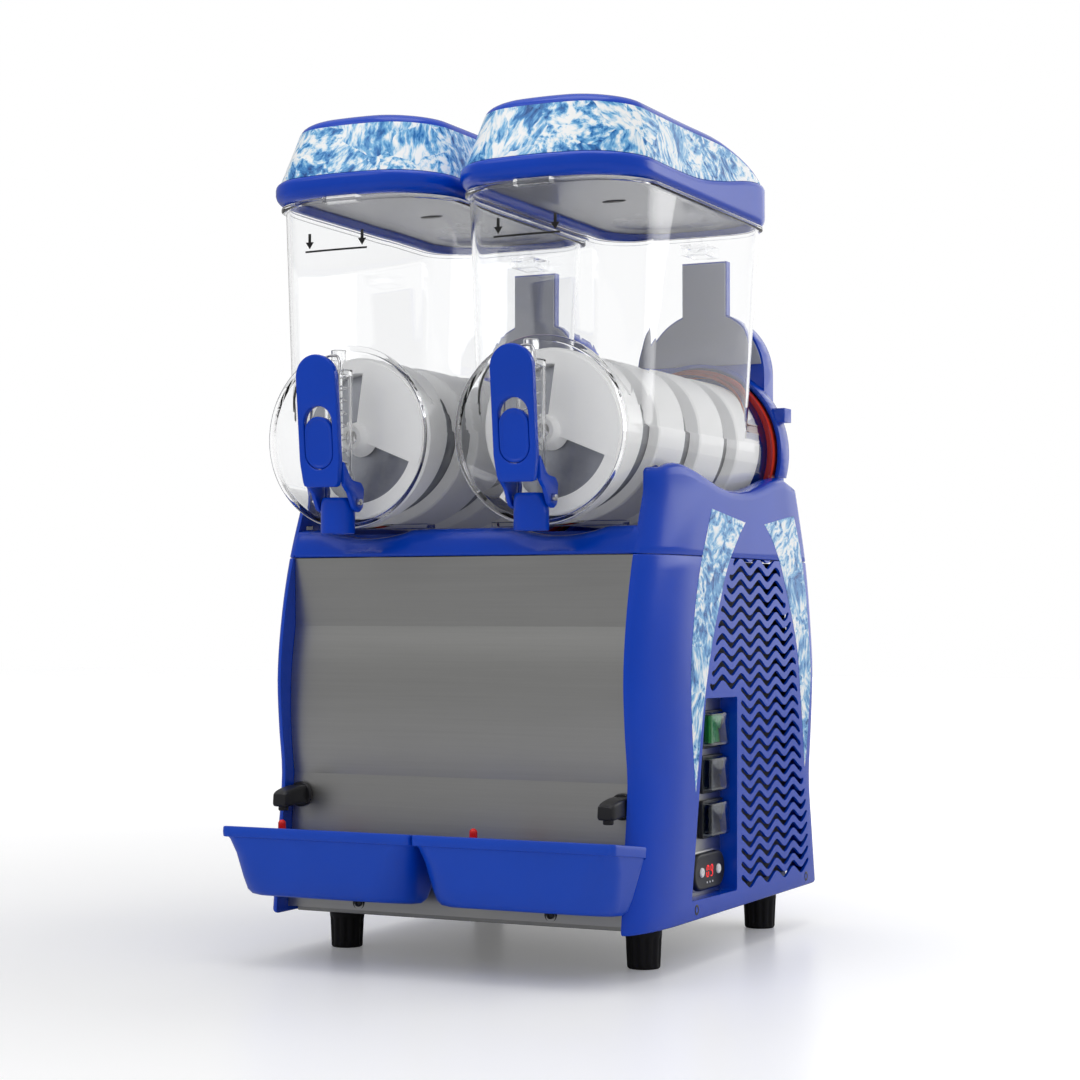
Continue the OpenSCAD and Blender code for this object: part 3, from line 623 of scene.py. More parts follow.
def side_skin():
    """The right side panel as a hollow shell that is open towards the inside of the cabinet."""
    levels = [(FOOT_Z, 3.0), (FOOT_Z + 1.0, 1.1), (FOOT_Z + 3.2, 0.0)]
    levels += [(lerp(FOOT_Z + 3.2, SEAM_Z - 1.4, i / 26), 0.0) for i in range(1, 27)]
    levels += [(SEAM_Z - 0.4, 0.25), (SEAM_Z, 0.9)]
    solid = mesh_of("solid", loft([level(side_section(z, inset), z) for z, inset in levels]))
    wall = 2.8
    rings = []
    for i in range(25):
        z = lerp(FOOT_Z + wall, SEAM_Z + 3, i / 24)
        ring = [(max(x, IN_X + wall), y, z) for x, y in side_section(min(z, SEAM_Z), wall)[2:-2]]
        back = ring[-1][1]
        ring += [
            (IN_X + wall, back - 0.5, z), (IN_X + wall, 226, z), (IN_X - 6, 226, z), (IN_X - 6, -160, z),
            (IN_X + wall, -160, z)
        ]
        rings.append(ring)
    return combine(solid, mesh_of("void", loft(rings)), "DIFFERENCE", "FAST")


def shoulder():
    """The right shoulder: a closed form with the ear in front and the saddle on top."""
    low = SEAM_Z + 0.5
    top_z = EAR_Z - 8
    base = side_section(low)
    steps = 12
    rings = [level(side_section(low, 0.9), low)]
    for i in range(steps + 1):
        f = i / steps
        ring = []
        for j, (x, y) in enumerate(base):
            z_end = value_at(SADDLE, side_section(top_z)[j][1]) - 5
            z = lerp(low + 0.8, z_end, f)
            px, py = side_section(z)[j]
            ring.append((px, py, z))
        rings.append(ring)
    # roll over to the saddle and across to the inner edge
    inner_x = IN_X + 2.6
    last = rings[-1]
    for share, lift in ((0.12, 2.6), (0.3, 4.2), (0.55, 5.0), (0.8, 5.0), (1.0, 4.4)):
        ring = []
        for x, y, z in last:
            back = max(0.0, (-100 - y)) * 0.45 * share
            front_pull = max(0.0, y - 170) * 0.3 * share
            ring.append((lerp(x, inner_x, share) if x > inner_x else x, y + back - front_pull, z + lift))
        rings.append(ring)
    verts, faces = loft(rings, closed=False, first=False, last=False)
    n = len(base)
    wall = [i * n for i in range(len(rings))]
    wall += [(len(rings) - 1) * n + j for j in range(1, n)]
    wall += [i * n + n - 1 for i in range(len(rings) - 2, -1, -1)]
    faces.append(tuple(wall))
    faces.append(tuple(range(n)))
    return verts, faces


# ---------- cooling vents, window and prints of the side panels ----------

# Inner and outer edges of the printed films on the side: (place along Y, height), from the top
FRONT_FILM_OUT = [
    (-38, 424), (-55, 393), (-70, 362), (-80, 332), (-87, 302), (-91, 268), (-89, 225), (-85, 192),
    (-80, 160)
]
FRONT_FILM_IN = [
    (50, 414), (30, 398), (3, 371), (-16, 340), (-33, 309), (-50, 268), (-62, 232), (-72, 193), (-80, 160)
]
REAR_FILM_OUT = [
    (189, 426), (197, 413), (212, 385), (227, 342), (235, 300), (240, 262), (233, 216), (226, 182),
    (220, 166)
]
REAR_FILM_IN = [
    (103, 414), (127, 398), (151, 373), (170, 343), (186, 316), (201, 282), (208, 244), (216, 200),
    (220, 166)
]
WINDOW = [(-90, 61), (25, 59), (27, 245), (-54, 246)]
VENT_PITCH = 13.0
VENT_FIRST = 65.0
VENT_ROWS = 25
WAVE = 49.0


def by_height(points):
    return sorted((z, y) for y, z in points)


def vent_row(z0, y0, y1):
    """One wavy slot as a solid that passes through the side panel."""
    half = 3.0
    count = max(6, int((y1 - y0) / 2.4))
    upper, lower = [], []
    for i in range(count + 1):
        y = lerp(y0, y1, i / count)
        phase = math.sin(2 * math.pi * (y - 87) / WAVE + math.pi / 2)
        wave = 4.6 * math.asin(0.72 * phase) / math.asin(0.72)
        end = min(1.0, 2.2 * min(i, count - i) / count * (y1 - y0) / 9 + 0.25)
        upper.append((y, z0 + wave + half * end))
        lower.append((y, z0 + wave - half * end))
    return bar(upper + lower[::-1], "x", OUT_X - 9, OUT_X + 6)


def vents(with_window):
    """All the slots of one side panel between the two printed films."""
    rows = []
    for i in range(VENT_ROWS):
        z = VENT_FIRST + VENT_PITCH * i
        film = value_at(by_height(FRONT_FILM_IN), z)
        if z > 250:
            y0 = film + 9
        else:
            y0 = 37 if with_window else max(film, -70) + 10
        rear_film = value_at(by_height(REAR_FILM_IN), z) - 8
        y1 = rear_film if z > 172 else value_at([(60, 232), (120, 226), (172, rear_film)], z)
        rows.append(vent_row(z, y0, y1))
    return mesh_of("vents", joined(*rows))


def film(outer, inner):
    """A printed film that lies on the flat of the side."""
    outline = smooth_line(outer, 5) + smooth_line(inner[::-1], 5)
    return bar(outline, "x", OUT_X - 0.2, HALF_W - 0.02)


def sculpted(mesh, side):
    """The mesh as drawn for the right, or mirrored for the left."""
    if side < 0:
        mesh.transform(Matrix.Scale(-1, 4, (1, 0, 0)))
        mesh.flip_normals()
    return mesh


def make_side_panels():
    for side, sign in SIDES.items():
        solver = "FAST" if side == "right" else "EXACT"
        skin = combine(side_skin(), vents(side == "right"), "DIFFERENCE", solver)
        if side == "right":
            hole = bar(rounded(WINDOW, 3.0), "x", OUT_X - 12, OUT_X + 8)
            skin = combine(skin, mesh_of("hole", hole), "DIFFERENCE", "FAST")
        mesh = sculpted(skin, sign)
        piece("side_panel_" + side, mesh, "cabinet", BLUE, ["side_" + side], sharp=40)
        piece(
            "shoulder_form_" + side, mirrored(shoulder(), sign), "cabinet", BLUE,
            ["shoulder_" + side], 50
        )
        for name, outer, inner in (
            ("front", FRONT_FILM_OUT, FRONT_FILM_IN), ("rear", REAR_FILM_OUT, REAR_FILM_IN)
        ):
            piece(f"{name}_film_{side}", mirrored(film(outer, inner), sign), "cabinet", ICE)


# ---------- front, deck, feet ----------

PANEL_FRONT = [(47, -182), (110, -176.7), (173, -171.4)]
PANEL_BELLY = [(173, -171.4), (208, -176.2), (243.5, -178), (279, -176), (314, -170)]
PANEL_HALF = span("front_panel")[1][0]
SHEET_T = 1.4


def make_vent_shade_sheets():
    """Dark sheets behind the vents: painted shade for the dark inside of the cabinet."""
    for side, sign in SIDES.items():
        x = IN_X + 3.4
        outline = [(228, 58), (222, 200), (214, 300), (196, 376), (20, 376), (-20, 330), (-50, 252)]
        outline += [(33, 252), (33, 58)] if side == "right" else [(-78, 58)]
        shape = mirrored(bar(rounded(outline, 3, 3), "x", x, x + 1.2), sign)
        piece("vent_shade_sheet_" + side, shape, "cabinet", INK)


def make_front_panel():
    line = [(value_at(PANEL_FRONT, z), z) for z in (47, 90, 130, 172.6)]
    line += [
        (value_at(PANEL_BELLY, lerp(173.2, 313.4, i / 36)), lerp(173.2, 313.4, i / 36))
        for i in range(37)
    ]
    line += [(-170.1, 314.4), (-170.6, 345), (-171, 378)]
    outline = line + [(y + SHEET_T, z) for y, z in reversed(line)]
    shape = bar(outline, "x", -PANEL_HALF, PANEL_HALF)
    piece("front_sheet", shape, "cabinet", STEEL, ["front_panel"], sharp=6)


def bar_top(x):
    """Height of the deck bar along X, with a dip under each bowl."""
    top = 405.0
    for unit in UNIT_X.values():
        reach = abs(x - unit)
        if reach < 48:
            top = min(top, 397 + 150 - math.sqrt(150 * 150 - reach * reach))
    return top


def make_deck():
    half = 180.2
    low = SEAM_Z + 0.5
    rings = []
    for i in range(97):
        x = lerp(-half, half, i / 96)
        tuck = 2.5 * max(0.0, 1 - (half - abs(x)) / 4) ** 2
        top = bar_top(x) - tuck
        ring = [(-172.4, low), (-173.6, low + 1), (-174, low + 3), (-171.4, top - 12), (-170.2, top - 7)]
        ring += [
            (-168.4, top - 3.6), (-165.4, top - 1.4), (-161, top - 0.3), (-156, top), (-148, top),
            (-146.4, top - 0.6), (-146, top - 2), (-146, low)
        ]
        rings.append([(x, y + tuck, z) for y, z in ring])
    front = loft(rings)
    # drip floor behind the bar with a raised kerb on three sides
    floor = []
    for inset, z in (
        (0, low), (0, low + 21), (1, low + 22), (3.2, low + 22), (4, low + 21), (5, low + 6), (9, low + 4),
        (60, low + 3.2)
    ):
        inner = rectangle(-half + inset, -145.8 + inset, half - inset, 186 - inset)
        floor.append(level(rounded(inner, 5), z))
    kerb = loft(floor, first=True, last=True)
    piece("deck_bar", front, "cabinet", BLUE, ["deck"], sharp=40)
    piece("deck_floor", kerb, "cabinet", BLUE, sharp=40)


def foot_shape(x, y):
    """A tapered rubber foot with upright flutes."""
    flutes = 12
    rings = []
    for z, r, depth in (
        (0, 14.2, 0), (1.2, 15.2, 0), (3, 15.5, 0.5), (6, 15.6, 1.0), (27, 16.6, 1.0), (30, 16.9, 0.3),
        (31, 17.0, 0), (35, 17.0, 0), (36, 16.2, 0), (36.2, 13, 0), (FOOT_Z + 3, 13, 0)
    ):
        ring = []
        for i in range(96):
            a = 2 * math.pi * i / 96
            cut = max(0.0, min(1.0, 2.2 * math.cos(flutes * a) + 0.2))
            reach = r - depth * 1.3 * cut
            ring.append((x + reach * math.cos(a), y + reach * math.sin(a), z))
        rings.append(ring)
    return loft(rings)


def make_feet():
    lo, hi = span("feet")
    places = [(x, y) for x in (lo[0] + 17, hi[0] - 17) for y in (lo[1] + 17, hi[1] - 17)]
    piece(
        "foot_set", joined(*[foot_shape(x, y) for x, y in places]), "cabinet", FOOT,
        ["feet"], sharp=45
    )


def make_screws():
    """Socket screws of the front sheet and round caps in the side panels."""
    shapes = []
    for x in UNIT_X.values():
        profile = [
            (0, -182.6), (1.8, -182.6), (2.0, -183.6), (3.0, -183.8), (3.6, -183.4), (3.8, -182.6),
            (3.8, -181.4), (2.8, -181.2), (2.8, -173)
        ]
        shapes.append(turned(profile, (x, 54), "y", 48))
        shapes.append(
            turned(
                [(4.5, -181.4), (6.2, -181.9), (6.4, -181.4), (6.2, -180.6), (4.5, -180.4)], (x, 54), "y",
                48
            )
        )
    for sign in SIDES.values():
        for y in (-78, 224):
            cap = [
                (0, HALF_W - 0.9), (2.2, HALF_W - 0.8), (2.9, HALF_W - 0.1), (4.6, HALF_W),
                (5.1, HALF_W - 0.3), (5.2, HALF_W - 8)
            ]
            shapes.append(turned([(r, h * sign) for r, h in cap], (y, 52), "x", 40))
    piece("screw_set", joined(*shapes), "cabinet", SCREW, ["panel_screws"], sharp=40)


def make_drain_spouts():
    """Black elbows that let the side drip troughs run into the trays."""
    shapes = []
    for sign in SIDES.values():
        x = 168 * sign
        shapes.append(
            turned(
                [(0, -173), (11.4, -173), (12, -174.5), (12, -176.6), (11, -177.8), (0, -178)], (x, 153),
                "y", 56
            )
        )
        rings = []
        for y, half, up, down in (
            (-176, 8.6, 9, 9), (-181, 9, 9.2, 9), (-190, 9.3, 8.6, 8.4), (-200, 9.2, 7.2, 8.8),
            (-208, 8.6, 5.6, 9.6), (-212.4, 7.8, 4.0, 9.4), (-214, 6.6, 2.4, 8.0)
        ):
            box = rounded([(-half, -down), (half, -down), (half * 0.92, up), (-half * 0.92, up)], 3.4, 5)
            rings.append([(x + u, y, 153 + v) for u, v in box])
        shapes.append(loft(rings))
        shapes.append(
            turned(
                [(0, 146), (4.6, 146), (4.8, 140.4), (4.2, 139.6), (3.4, 139.8), (3.2, 143), (0, 143)],
                (x, -206), "z", 36
            )
        )
    piece("drain_elbows", joined(*shapes), "cabinet", BLACK, ["drain_spouts"], sharp=38)


# ---------- controls in the right side panel ----------

PLATE_X = span("control_plate")[0][0] + 1.3
SWITCH_Y = middle("rocker_top", 1)
SWITCHES = {name: middle("rocker_" + name, 2) for name in ("top", "middle", "bottom")}


def make_controls():
    plate_shape = plate(
        [rounded([(-92, 59), (27, 57), (29, 247), (-56, 248)], 3)], "x", PLATE_X - 1.2, PLATE_X, 0.2
    )
    piece("switch_plate", plate_shape, "cabinet", STEEL, ["control_plate"])
    walls = []
    for x, grow in ((OUT_X - 0.4, 0.4), (PLATE_X, 0.4), (PLATE_X, 1.8), (OUT_X - 2.6, 1.8)):
        points = [
            (-90 - grow, 61 - grow), (25 + grow, 59 - grow), (27 + grow, 245 + grow),
            (-54 - grow, 246 + grow)
        ]
        walls.append([(x, y, z) for y, z in rounded(points, 3 + grow)])
    walls.append(walls[0])
    piece("window_frame", loft(walls, first=False, last=False), "cabinet", BLUE)
    frames, covers = [], []
    for z in SWITCHES.values():
        outer = rounded(rectangle(SWITCH_Y - 27, z - 18, SWITCH_Y + 27, z + 18), 4)
        hole = rounded(rectangle(SWITCH_Y - 20.6, z - 13.4, SWITCH_Y + 20.6, z + 13.4), 1.5)
        frames.append(plate([outer, hole], "x", PLATE_X, PLATE_X + 4.6, 0.9))
        rings = []
        for x, inset in (
            (PLATE_X + 4.6, 0), (PLATE_X + 10.4, 0.4), (PLATE_X + 12.2, 1.4), (PLATE_X + 12.6, 3.2)
        ):
            rim = rectangle(SWITCH_Y - 25 + inset, z - 16.5 + inset, SWITCH_Y + 25 - inset, z + 16.5 - inset)
            rings.append([(x, y, h) for y, h in rounded(rim, 3)])
        covers.append(loft(rings, first=False, last=True))
    piece("switch_frames", joined(*frames), "cabinet", BLACK)
    mesh = thickened(mesh_of("cover", joined(*covers)), 0.7)
    piece("switch_covers", mesh, "cabinet", SMOKED)
    pivot = span("rocker_top")[0][0] + 1.9
    tilt = math.radians(8)
    for name, z in SWITCHES.items():
        profile = [
            (-0.6, -3), (2.6, -18.6), (3.4, -19.3), (5.6, -19.3), (6.3, -18.6), (5.3, -8), (4.8, 0),
            (5.3, 8), (6.3, 18.6), (5.6, 19.3), (3.4, 19.3), (2.6, 18.6), (-0.6, 3)
        ]
        turned_profile = [
            (
                pivot + u * math.cos(tilt) - v * math.sin(tilt),
                SWITCH_Y + u * math.sin(tilt) + v * math.cos(tilt)
            )
            for u, v in profile
        ]
        key = bar(turned_profile, "z", z - 12.8, z + 12.8)
        material = GREEN if name == "top" else BLACK
        piece("switch_key_" + name, key, "rocker_" + name, material, ["rocker_" + name], 30, 0.5)


def make_thermostat():
    lo, hi = span("thermostat")
    y, z = (lo[1] + hi[1]) / 2, (lo[2] + hi[2]) / 2
    half, r = (hi[1] - lo[1]) / 2, (hi[2] - lo[2]) / 2
    keys = {name: middle("thermostat_button_" + name, 1) for name in ("front", "rear")}

    def oval(grow, reach=half):
        return arc(y + reach - r, z, r + grow, -90, 90, 20) + arc(y - reach + r, z, r + grow, 90, 270, 20)

    rings = []
    for x, grow in (
        (PLATE_X, -1.0), (PLATE_X + 0.4, 0.0), (PLATE_X + 4.6, 0.0), (PLATE_X + 6.0, -0.8),
        (PLATE_X + 6.6, -2.2), (PLATE_X + 6.4, -3.4), (PLATE_X + 6.2, -5.0)
    ):
        rings.append([(x, u, v) for u, v in oval(grow)])
    piece("thermostat_case", loft(rings), "cabinet", BLACK, ["thermostat"], 40)
    ring = [
        [(x, u, v) for u, v in oval(grow)]
        for x, grow in (
            (PLATE_X + 0.1, 0.0), (PLATE_X + 0.1, 1.6), (PLATE_X + 1.2, 1.4), (PLATE_X + 1.6, 0.1),
            (PLATE_X + 0.1, 0.0)
        )
    ]
    piece("thermostat_rim", loft(ring, first=False, last=False), "cabinet", STEEL)
    for name, at in keys.items():
        x0 = PLATE_X + 4.6
        profile = [
            (0, x0 + 2.6), (1.4, x0 + 2.7), (1.8, x0 + 3.2), (3.6, x0 + 3.4), (4.3, x0 + 3.0),
            (4.6, x0 + 2.2), (4.6, x0)
        ]
        piece(
            "thermostat_key_" + name, turned(profile, (at, z), "x", 40), "button_" + name, WHITE,
            ["thermostat_button_" + name], 40
        )
    # two seven-bar figures and the row of small lamps
    def digit(cy, bars):
        places = {
            "a": (0, 5, 1), "b": (2.4, 2.5, 0), "c": (2.4, -2.5, 0), "d": (0, -5, 1), "e": (-2.4, -2.5, 0),
            "f": (-2.4, 2.5, 0), "g": (0, 0, 1)
        }
        out = []
        for name in bars:
            dy, dz, flat = places[name]
            hy, hz = (1.9, 0.55) if flat else (0.55, 1.9)
            mid = cy + dy + 0.12 * dz
            box = rounded(rectangle(mid - hy, z + dz - hz, mid + hy, z + dz + hz), 0.4, 2)
            out.append(bar(box, "x", PLATE_X + 6.2, PLATE_X + 6.45))
        return out
    figures = digit(y - 5.5, "abcdef") + digit(y + 4.5, "abcdfg")
    piece("thermostat_figures", joined(*figures), "cabinet", DIGIT_RED)
    dots = [
        turned(
            [(0, PLATE_X + 6.5), (0.9, PLATE_X + 6.45), (1.1, PLATE_X + 6.1)], (y + dy, z - 10.5), "x", 16
        )
        for dy in (-7, 0, 7)
    ]
    piece("thermostat_lamps", joined(*dots), "cabinet", WHITE)


# ---------- pieces that keep their CAD shape ----------

def refined(name, node, body, material, bevel=0.0, sharp=32, cut=None):
    """A CAD node's own shape with welded corners, whole faces and softened edges, less an optional cut."""
    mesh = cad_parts[node].data.copy()
    bm = bmesh.new()
    bm.from_mesh(mesh)
    bmesh.ops.remove_doubles(bm, verts=bm.verts, dist=2e-6)
    bmesh.ops.dissolve_limit(bm, angle_limit=math.radians(0.4), verts=bm.verts, edges=bm.edges)
    bm.to_mesh(mesh)
    bm.free()
    if cut:
        mesh = combine(mesh, cut, "DIFFERENCE")
    mesh.name = name
    return finish_piece(new_object(name, mesh), body, material, [node], sharp, bevel)


KEPT = [
    ("base_pan", "base_chassis", "cabinet", "chassis", CHASSIS, 0.6),
    ("rear_panel", "rear_cover", "cabinet", "blue", BLUE, 0.0),
    ("compressor_can", "compressor", "cabinet", "machinery", MACHINE, 0.0),
    ("condenser_pack", "condenser", "cabinet", "fin", FIN, 0.0),
    ("fan_motor_unit", "fan_motor", "cabinet", "motor_grey", MOTOR, 0.0),
    ("fan_rotor", "fan_blades", "fan", "black", BLACK, 0.0),
    ("inlet_socket", "power_inlet", "cabinet", "black", BLACK, 0.5),
    ("gearmotor_pair", "gearmotors", "cabinet", "motor_grey", MOTOR, 0.6),
    ("drum_pair", "evaporators", "cabinet", "steel", DRUM_STEEL, 0.8),
    ("connector_pair", "column_connectors", "cabinet", "clear", CLEAR, 0.8),
    ("column_face_pair", "column_faces", "cabinet", "grey", GREY, 0.5),
]


def make_kept():
    for name, node, body, slot, material, bevel in KEPT:
        refined(name, node, body, material, bevel)
    # the housings' collars are cut back so that the rubber rings show in front of them
    ring = [(88.7, 140), (98.6, 140), (98.6, 166), (88.7, 166), (88.7, 140)]
    collars = joined(*[turned(ring, (x, AXIS_Z), "y", 160) for x in UNIT_X.values()])
    refined("housing_pair", "column_housings", "cabinet", BLUE, 1.4, cut=mesh_of("collars", collars))
    for side in SIDES:
        refined("shaft_" + side, "drive_shaft_" + side, "auger_" + side, SHAFT, 0.6)
        refined("pin_pair_" + side, "lever_pins_" + side, "bowl_" + side, SHAFT, 0.4)
        refined("piston_" + side, "tap_piston_" + side, "piston_" + side, CLEAR, 0.5)
        refined("grille_" + side, "tray_grille_" + side, "tray_" + side, STEEL, 0.4)


# ---------- gaskets and augers ----------

def make_gaskets():
    """Two rubber rings at the rear of each mixing cylinder, in front of the housing's collar."""
    for side, x in UNIT_X.items():
        y0, y1, y2 = 153.5, 161.2, GASKET_Y
        lip = [
            (84.4, y0), (86.9, y0 + 0.2), (88.2, y0 + 1.4), (88.4, y0 + 4.6), (87.8, y0 + 6.6),
            (86.2, y0 + 7.4), (84.4, y0 + 7.4), (84.4, y0)
        ]
        seat = [
            (84.4, y1), (86.4, y1), (87.6, y1 + 0.8), (88.2, y1 + 2.6), (88.2, y1 + 5.4), (87.6, y2 - 8),
            (87.6, y2 - 0.6), (87.0, y2)
        ]
        seat += [(81.0, y2), (81.0, y2 - 9.4), (84.4, y2 - 9.6), (84.4, y1)]
        place = (x, AXIS_Z)
        piece(
            "gasket_lip_" + side, turned(lip, place, "y", 160), "cabinet", GASKET_RED,
            ["gasket_" + side], 40
        )
        piece(
            "gasket_base_" + side, turned(seat, place, "y", 160), "cabinet", GASKET_ORANGE, (), 40
        )


def ribbon(x):
    """The helical band that scrapes the drum."""
    y0, y1 = -188.0, span("auger_right")[1][1]
    half, pitch = 31.5, 100.0
    a0 = (y0 + 1 - half + 182.5) * 360 / pitch
    a1 = (y1 - 1 + half + 182.5) * 360 / pitch
    rings = []
    steps = 260
    for i in range(steps + 1):
        a = lerp(a0, a1, i / steps)
        mid = -182.5 + pitch * a / 360
        low, high = max(y0, mid - half), min(y1, mid + half)
        c, s = math.cos(math.radians(a)), math.sin(math.radians(a))
        ease = min(2.2, (high - low) / 4)
        section = [(61.5, low), (61.5, high), (71.5, high), (74.4, high), (76, high - ease)]
        section += [(76, lerp(high - ease, low + ease, k / 4)) for k in range(1, 5)]
        section += [(74.4, low), (71.5, low)]
        rings.append([(x + r * c, y, AXIS_Z + r * s) for r, y in section])
    return loft(rings)


def make_augers():
    for side, x in UNIT_X.items():
        hub = turned(
            [(7.3, -199), (11.4, -199), (12.4, -198), (14.5, -190), (16.9, -179), (17, -178), (7.3, -178)],
            (x, AXIS_Z), "y", 64
        )
        outline = [(x, AXIS_Z)]
        for a in range(-22, 83, 4):
            outline.append((x + 72.6 * math.cos(math.radians(a)), AXIS_Z + 72.6 * math.sin(math.radians(a))))
        vane = bar(rounded(outline, 0.8, 2), "y", -190, -184)
        screw = joined(ribbon(x), hub, vane)
        # The screw's material carries a faint painted glow.
        piece("auger_screw_" + side, screw, "auger_" + side, AUGER_WHITE_GLOW, ["auger_" + side], 35)


# ---------- bowls ----------

def hopper_rings(wall, z0, z1, steps=10):
    rings = []
    for i in range(steps + 1):
        z = lerp(z0, z1, i / steps)
        t = (z - AXIS_Z) / (RIM_Z - AXIS_Z)
        foot = (83.5, -196, 128, 44, 40, 5)
        top = (92, -200, 150, 48, 48, 9)
        half, front, rear, front_r, rear_r, bulge = (lerp(a, b, t) for a, b in zip(foot, top))
        ring = plan(half - wall, front + wall, rear - wall, front_r - wall, rear_r - wall, bulge)
        rings.append(level(ring, z))
    return rings


def bowl_mesh():
    """The clear moulding about X 0: mixing cylinder, hopper, rim, tap barrel and latch bar."""
    drum = turned(
        [
            (0, -206), (84.6, -206), (85.7, -205.5), (86, -204.8), (86, -202.9), (85.4, -202), (84, -201.4),
            (84, 167.5), (0, 167.5)
        ],
        (0, AXIS_Z), "y", 144
    )
    rim = []
    for z, inset in ((711, 1.0), (711.5, 0.2), (712.2, 0), (713.8, 0), (714.6, 0.3), (RIM_Z, 1.2)):
        rim.append(level(plan(96 - inset, -203 + inset, 153 - inset, 50, 50, 9), z))
    barrel = turned(
        [(0, 430.3), (12.2, 430.3), (13, 431.2), (13, 551), (12.2, 552), (0, 552)], (0, TAP_Y), "z", 72
    )
    ledge = bar(rounded(rectangle(-66, -172, 66, -152), 3), "z", 405.3, 409.3)
    web = bar(rectangle(-5, TAP_Y, 5, -203), "z", 446, 544)
    latch = bar(rounded(rectangle(-222, 709, -208, RIM_Z), 2), "x", -18, 18)
    mesh = mesh_of("bowl", drum)
    for shape in (loft(hopper_rings(0, AXIS_Z, RIM_Z)), loft(rim), barrel, ledge, web, latch):
        mesh = combine(mesh, mesh_of("part", shape), "UNION")
    inside = turned(
        [(0, -202), (78.5, -202), (80.4, -201.2), (81, -199.6), (81, 175), (0, 175)], (0, AXIS_Z), "y", 144
    )
    bore = turned(
        [(0, 428), (10.8, 428), (10.8, 546), (4.05, 548), (4.05, 556), (0, 556)], (0, TAP_Y), "z", 72
    )
    port = turned([(0, -224), (6.5, -224), (6.5, -198), (0, -198)], (0, 452), "y", 40)
    hollow = mesh_of("hollow", inside)
    for shape in (loft(hopper_rings(3, AXIS_Z, RIM_Z + 2)), port, bore):
        hollow = combine(hollow, mesh_of("part", shape), "UNION")
    mesh = combine(mesh, hollow, "DIFFERENCE")
    bm = bmesh.new()
    bm.from_mesh(mesh)
    bmesh.ops.remove_doubles(bm, verts=bm.verts, dist=2e-5)
    bmesh.ops.dissolve_degenerate(bm, edges=bm.edges, dist=1e-5)
    bm.to_mesh(mesh)
    bm.free()
    return mesh


def fill_mark(unit):
    """A level line with two arrows printed on the hopper's front."""
    z0 = 667
    t = (z0 - AXIS_Z) / (RIM_Z - AXIS_Z)
    front, bulge = lerp(-196, -200, t), lerp(5, 9, t)
    half = lerp(83.5, 92, t)

    def face(x):
        return front - bulge * (1 - (x / half) ** 2) - 0.05

    rings = []
    for i in range(25):
        x = lerp(-46, 22, i / 24)
        y = face(x)
        rings.append(
            [
                (x + unit, y, z0 - 0.9), (x + unit, y - 0.22, z0 - 0.9), (x + unit, y - 0.22, z0 + 0.9),
                (x + unit, y, z0 + 0.9)
            ]
        )
    shapes = [loft(rings)]
    for x in (-41, 17):
        y = face(x) - 0.1
        edge = [(0, 2.5), (4.4, 9), (1.5, 9), (1.5, 17)]
        head = [(x + unit + u, z0 + v) for u, v in edge] + [(x + unit - u, z0 + v) for u, v in edge[:0:-1]]
        shapes.append(bar(head, "y", y - 0.3, y + 0.1))
    return joined(*shapes)


def make_bowls():
    mesh = bowl_mesh()
    for side, x in UNIT_X.items():
        copy = mesh.copy()
        copy.transform(Matrix.Translation((x * MM, 0, 0)))
        piece("bowl_moulding_" + side, copy, "bowl_" + side, CLEAR, ["bowl_" + side], 38)
        piece("fill_mark_" + side, fill_mark(x), "bowl_" + side, INK)


# ---------- lids ----------

LID_TOP_LINE = [
    (-230, LID_TOP), (16, LID_TOP), (52, LID_TOP - 3.5), (100, 780.5), (130, 767), (150, 759.5), (175, 756)
]
BAND_LOW = [(-230, 735), (-60, 735), (10, 743), (100, 757), (175, 757)]
BAND_HIGH = [(-230, LID_TOP - 11), (30, LID_TOP - 11), (62, LID_TOP - 14), (96, 772), (128, 757), (175, 748)]


def lid_plan(d):
    return plan(95 - d, -212 + d, 170 - d, 48 - d * 0.1, 60 - d / 2, 16 * (1 - d / 150) ** 2)


def lid_heights(y):
    """Top, top of the band and top of the rim of a lid's wall at one place along Y."""
    top = value_at(LID_TOP_LINE, y)
    high = min(value_at(BAND_HIGH, y), top - 9)
    low = min(value_at(BAND_LOW, y), top - 9)
    return top, max(high, low), low


def lean(z, low):
    """How far a lid's wall leans in at a height above its rim."""
    return 3.4 + 0.285 * (z - low)


def lid_column(j):
    """One upright line of a lid's skin, from the ceiling round the lip to the middle of the top."""
    base = lid_plan(0)[j]
    top, high, low = lid_heights(base[1])
    rows = [(16, 726.5), (14.6, 726.2), (14.2, 724), (13.8, LID_Z + 1.4), (12.6, LID_Z + 0.2), (8.4, LID_Z)]
    rows += [(6.0, LID_Z + 0.4), (3.6, LID_Z + 1.8), (1.8, LID_Z + 3.8), (0.6, LID_Z + 6.2), (0, LID_Z + 9)]
    rows += [(0, lerp(LID_Z + 9, low - 5, k / 3)) for k in (1, 2, 3)]
    rows += [(0.25, low - 3.4), (0.9, low - 1.8), (1.9, low - 0.6), (3.4, low)]
    rows += [(lean(lerp(low, high, k / 6), low), lerp(low, high, k / 6)) for k in range(1, 7)]
    edge = lean(high, low)
    drop = top - high
    for s in (0.16, 0.34, 0.52, 0.68, 0.82, 0.92, 0.98, 1.0):
        rows.append((edge + 21 * (1 - math.sqrt(max(0.0, 1 - s * s))) * 0.9 + 1.5 * s, high + drop * s))
    points = [lid_plan(d)[j] + (z,) for d, z in rows]
    x, y, z = points[-1]
    for t in (0.12, 0.3, 0.5, 0.7, 0.86, 1.0):
        y_in = lerp(y, min(110.0, max(-130.0, y)), t)
        z_in = value_at(LID_TOP_LINE, y_in)
        points.append((x * (1 - t), y_in, max(z_in, z) if y_in > 110 else z_in))
    return points


def lid_shape():
    columns = [lid_column(j) for j in range(len(lid_plan(0)))]
    rings = [[column[i] for column in columns] for i in range(len(columns[0]))]
    return loft(rings, first=True, last=False)


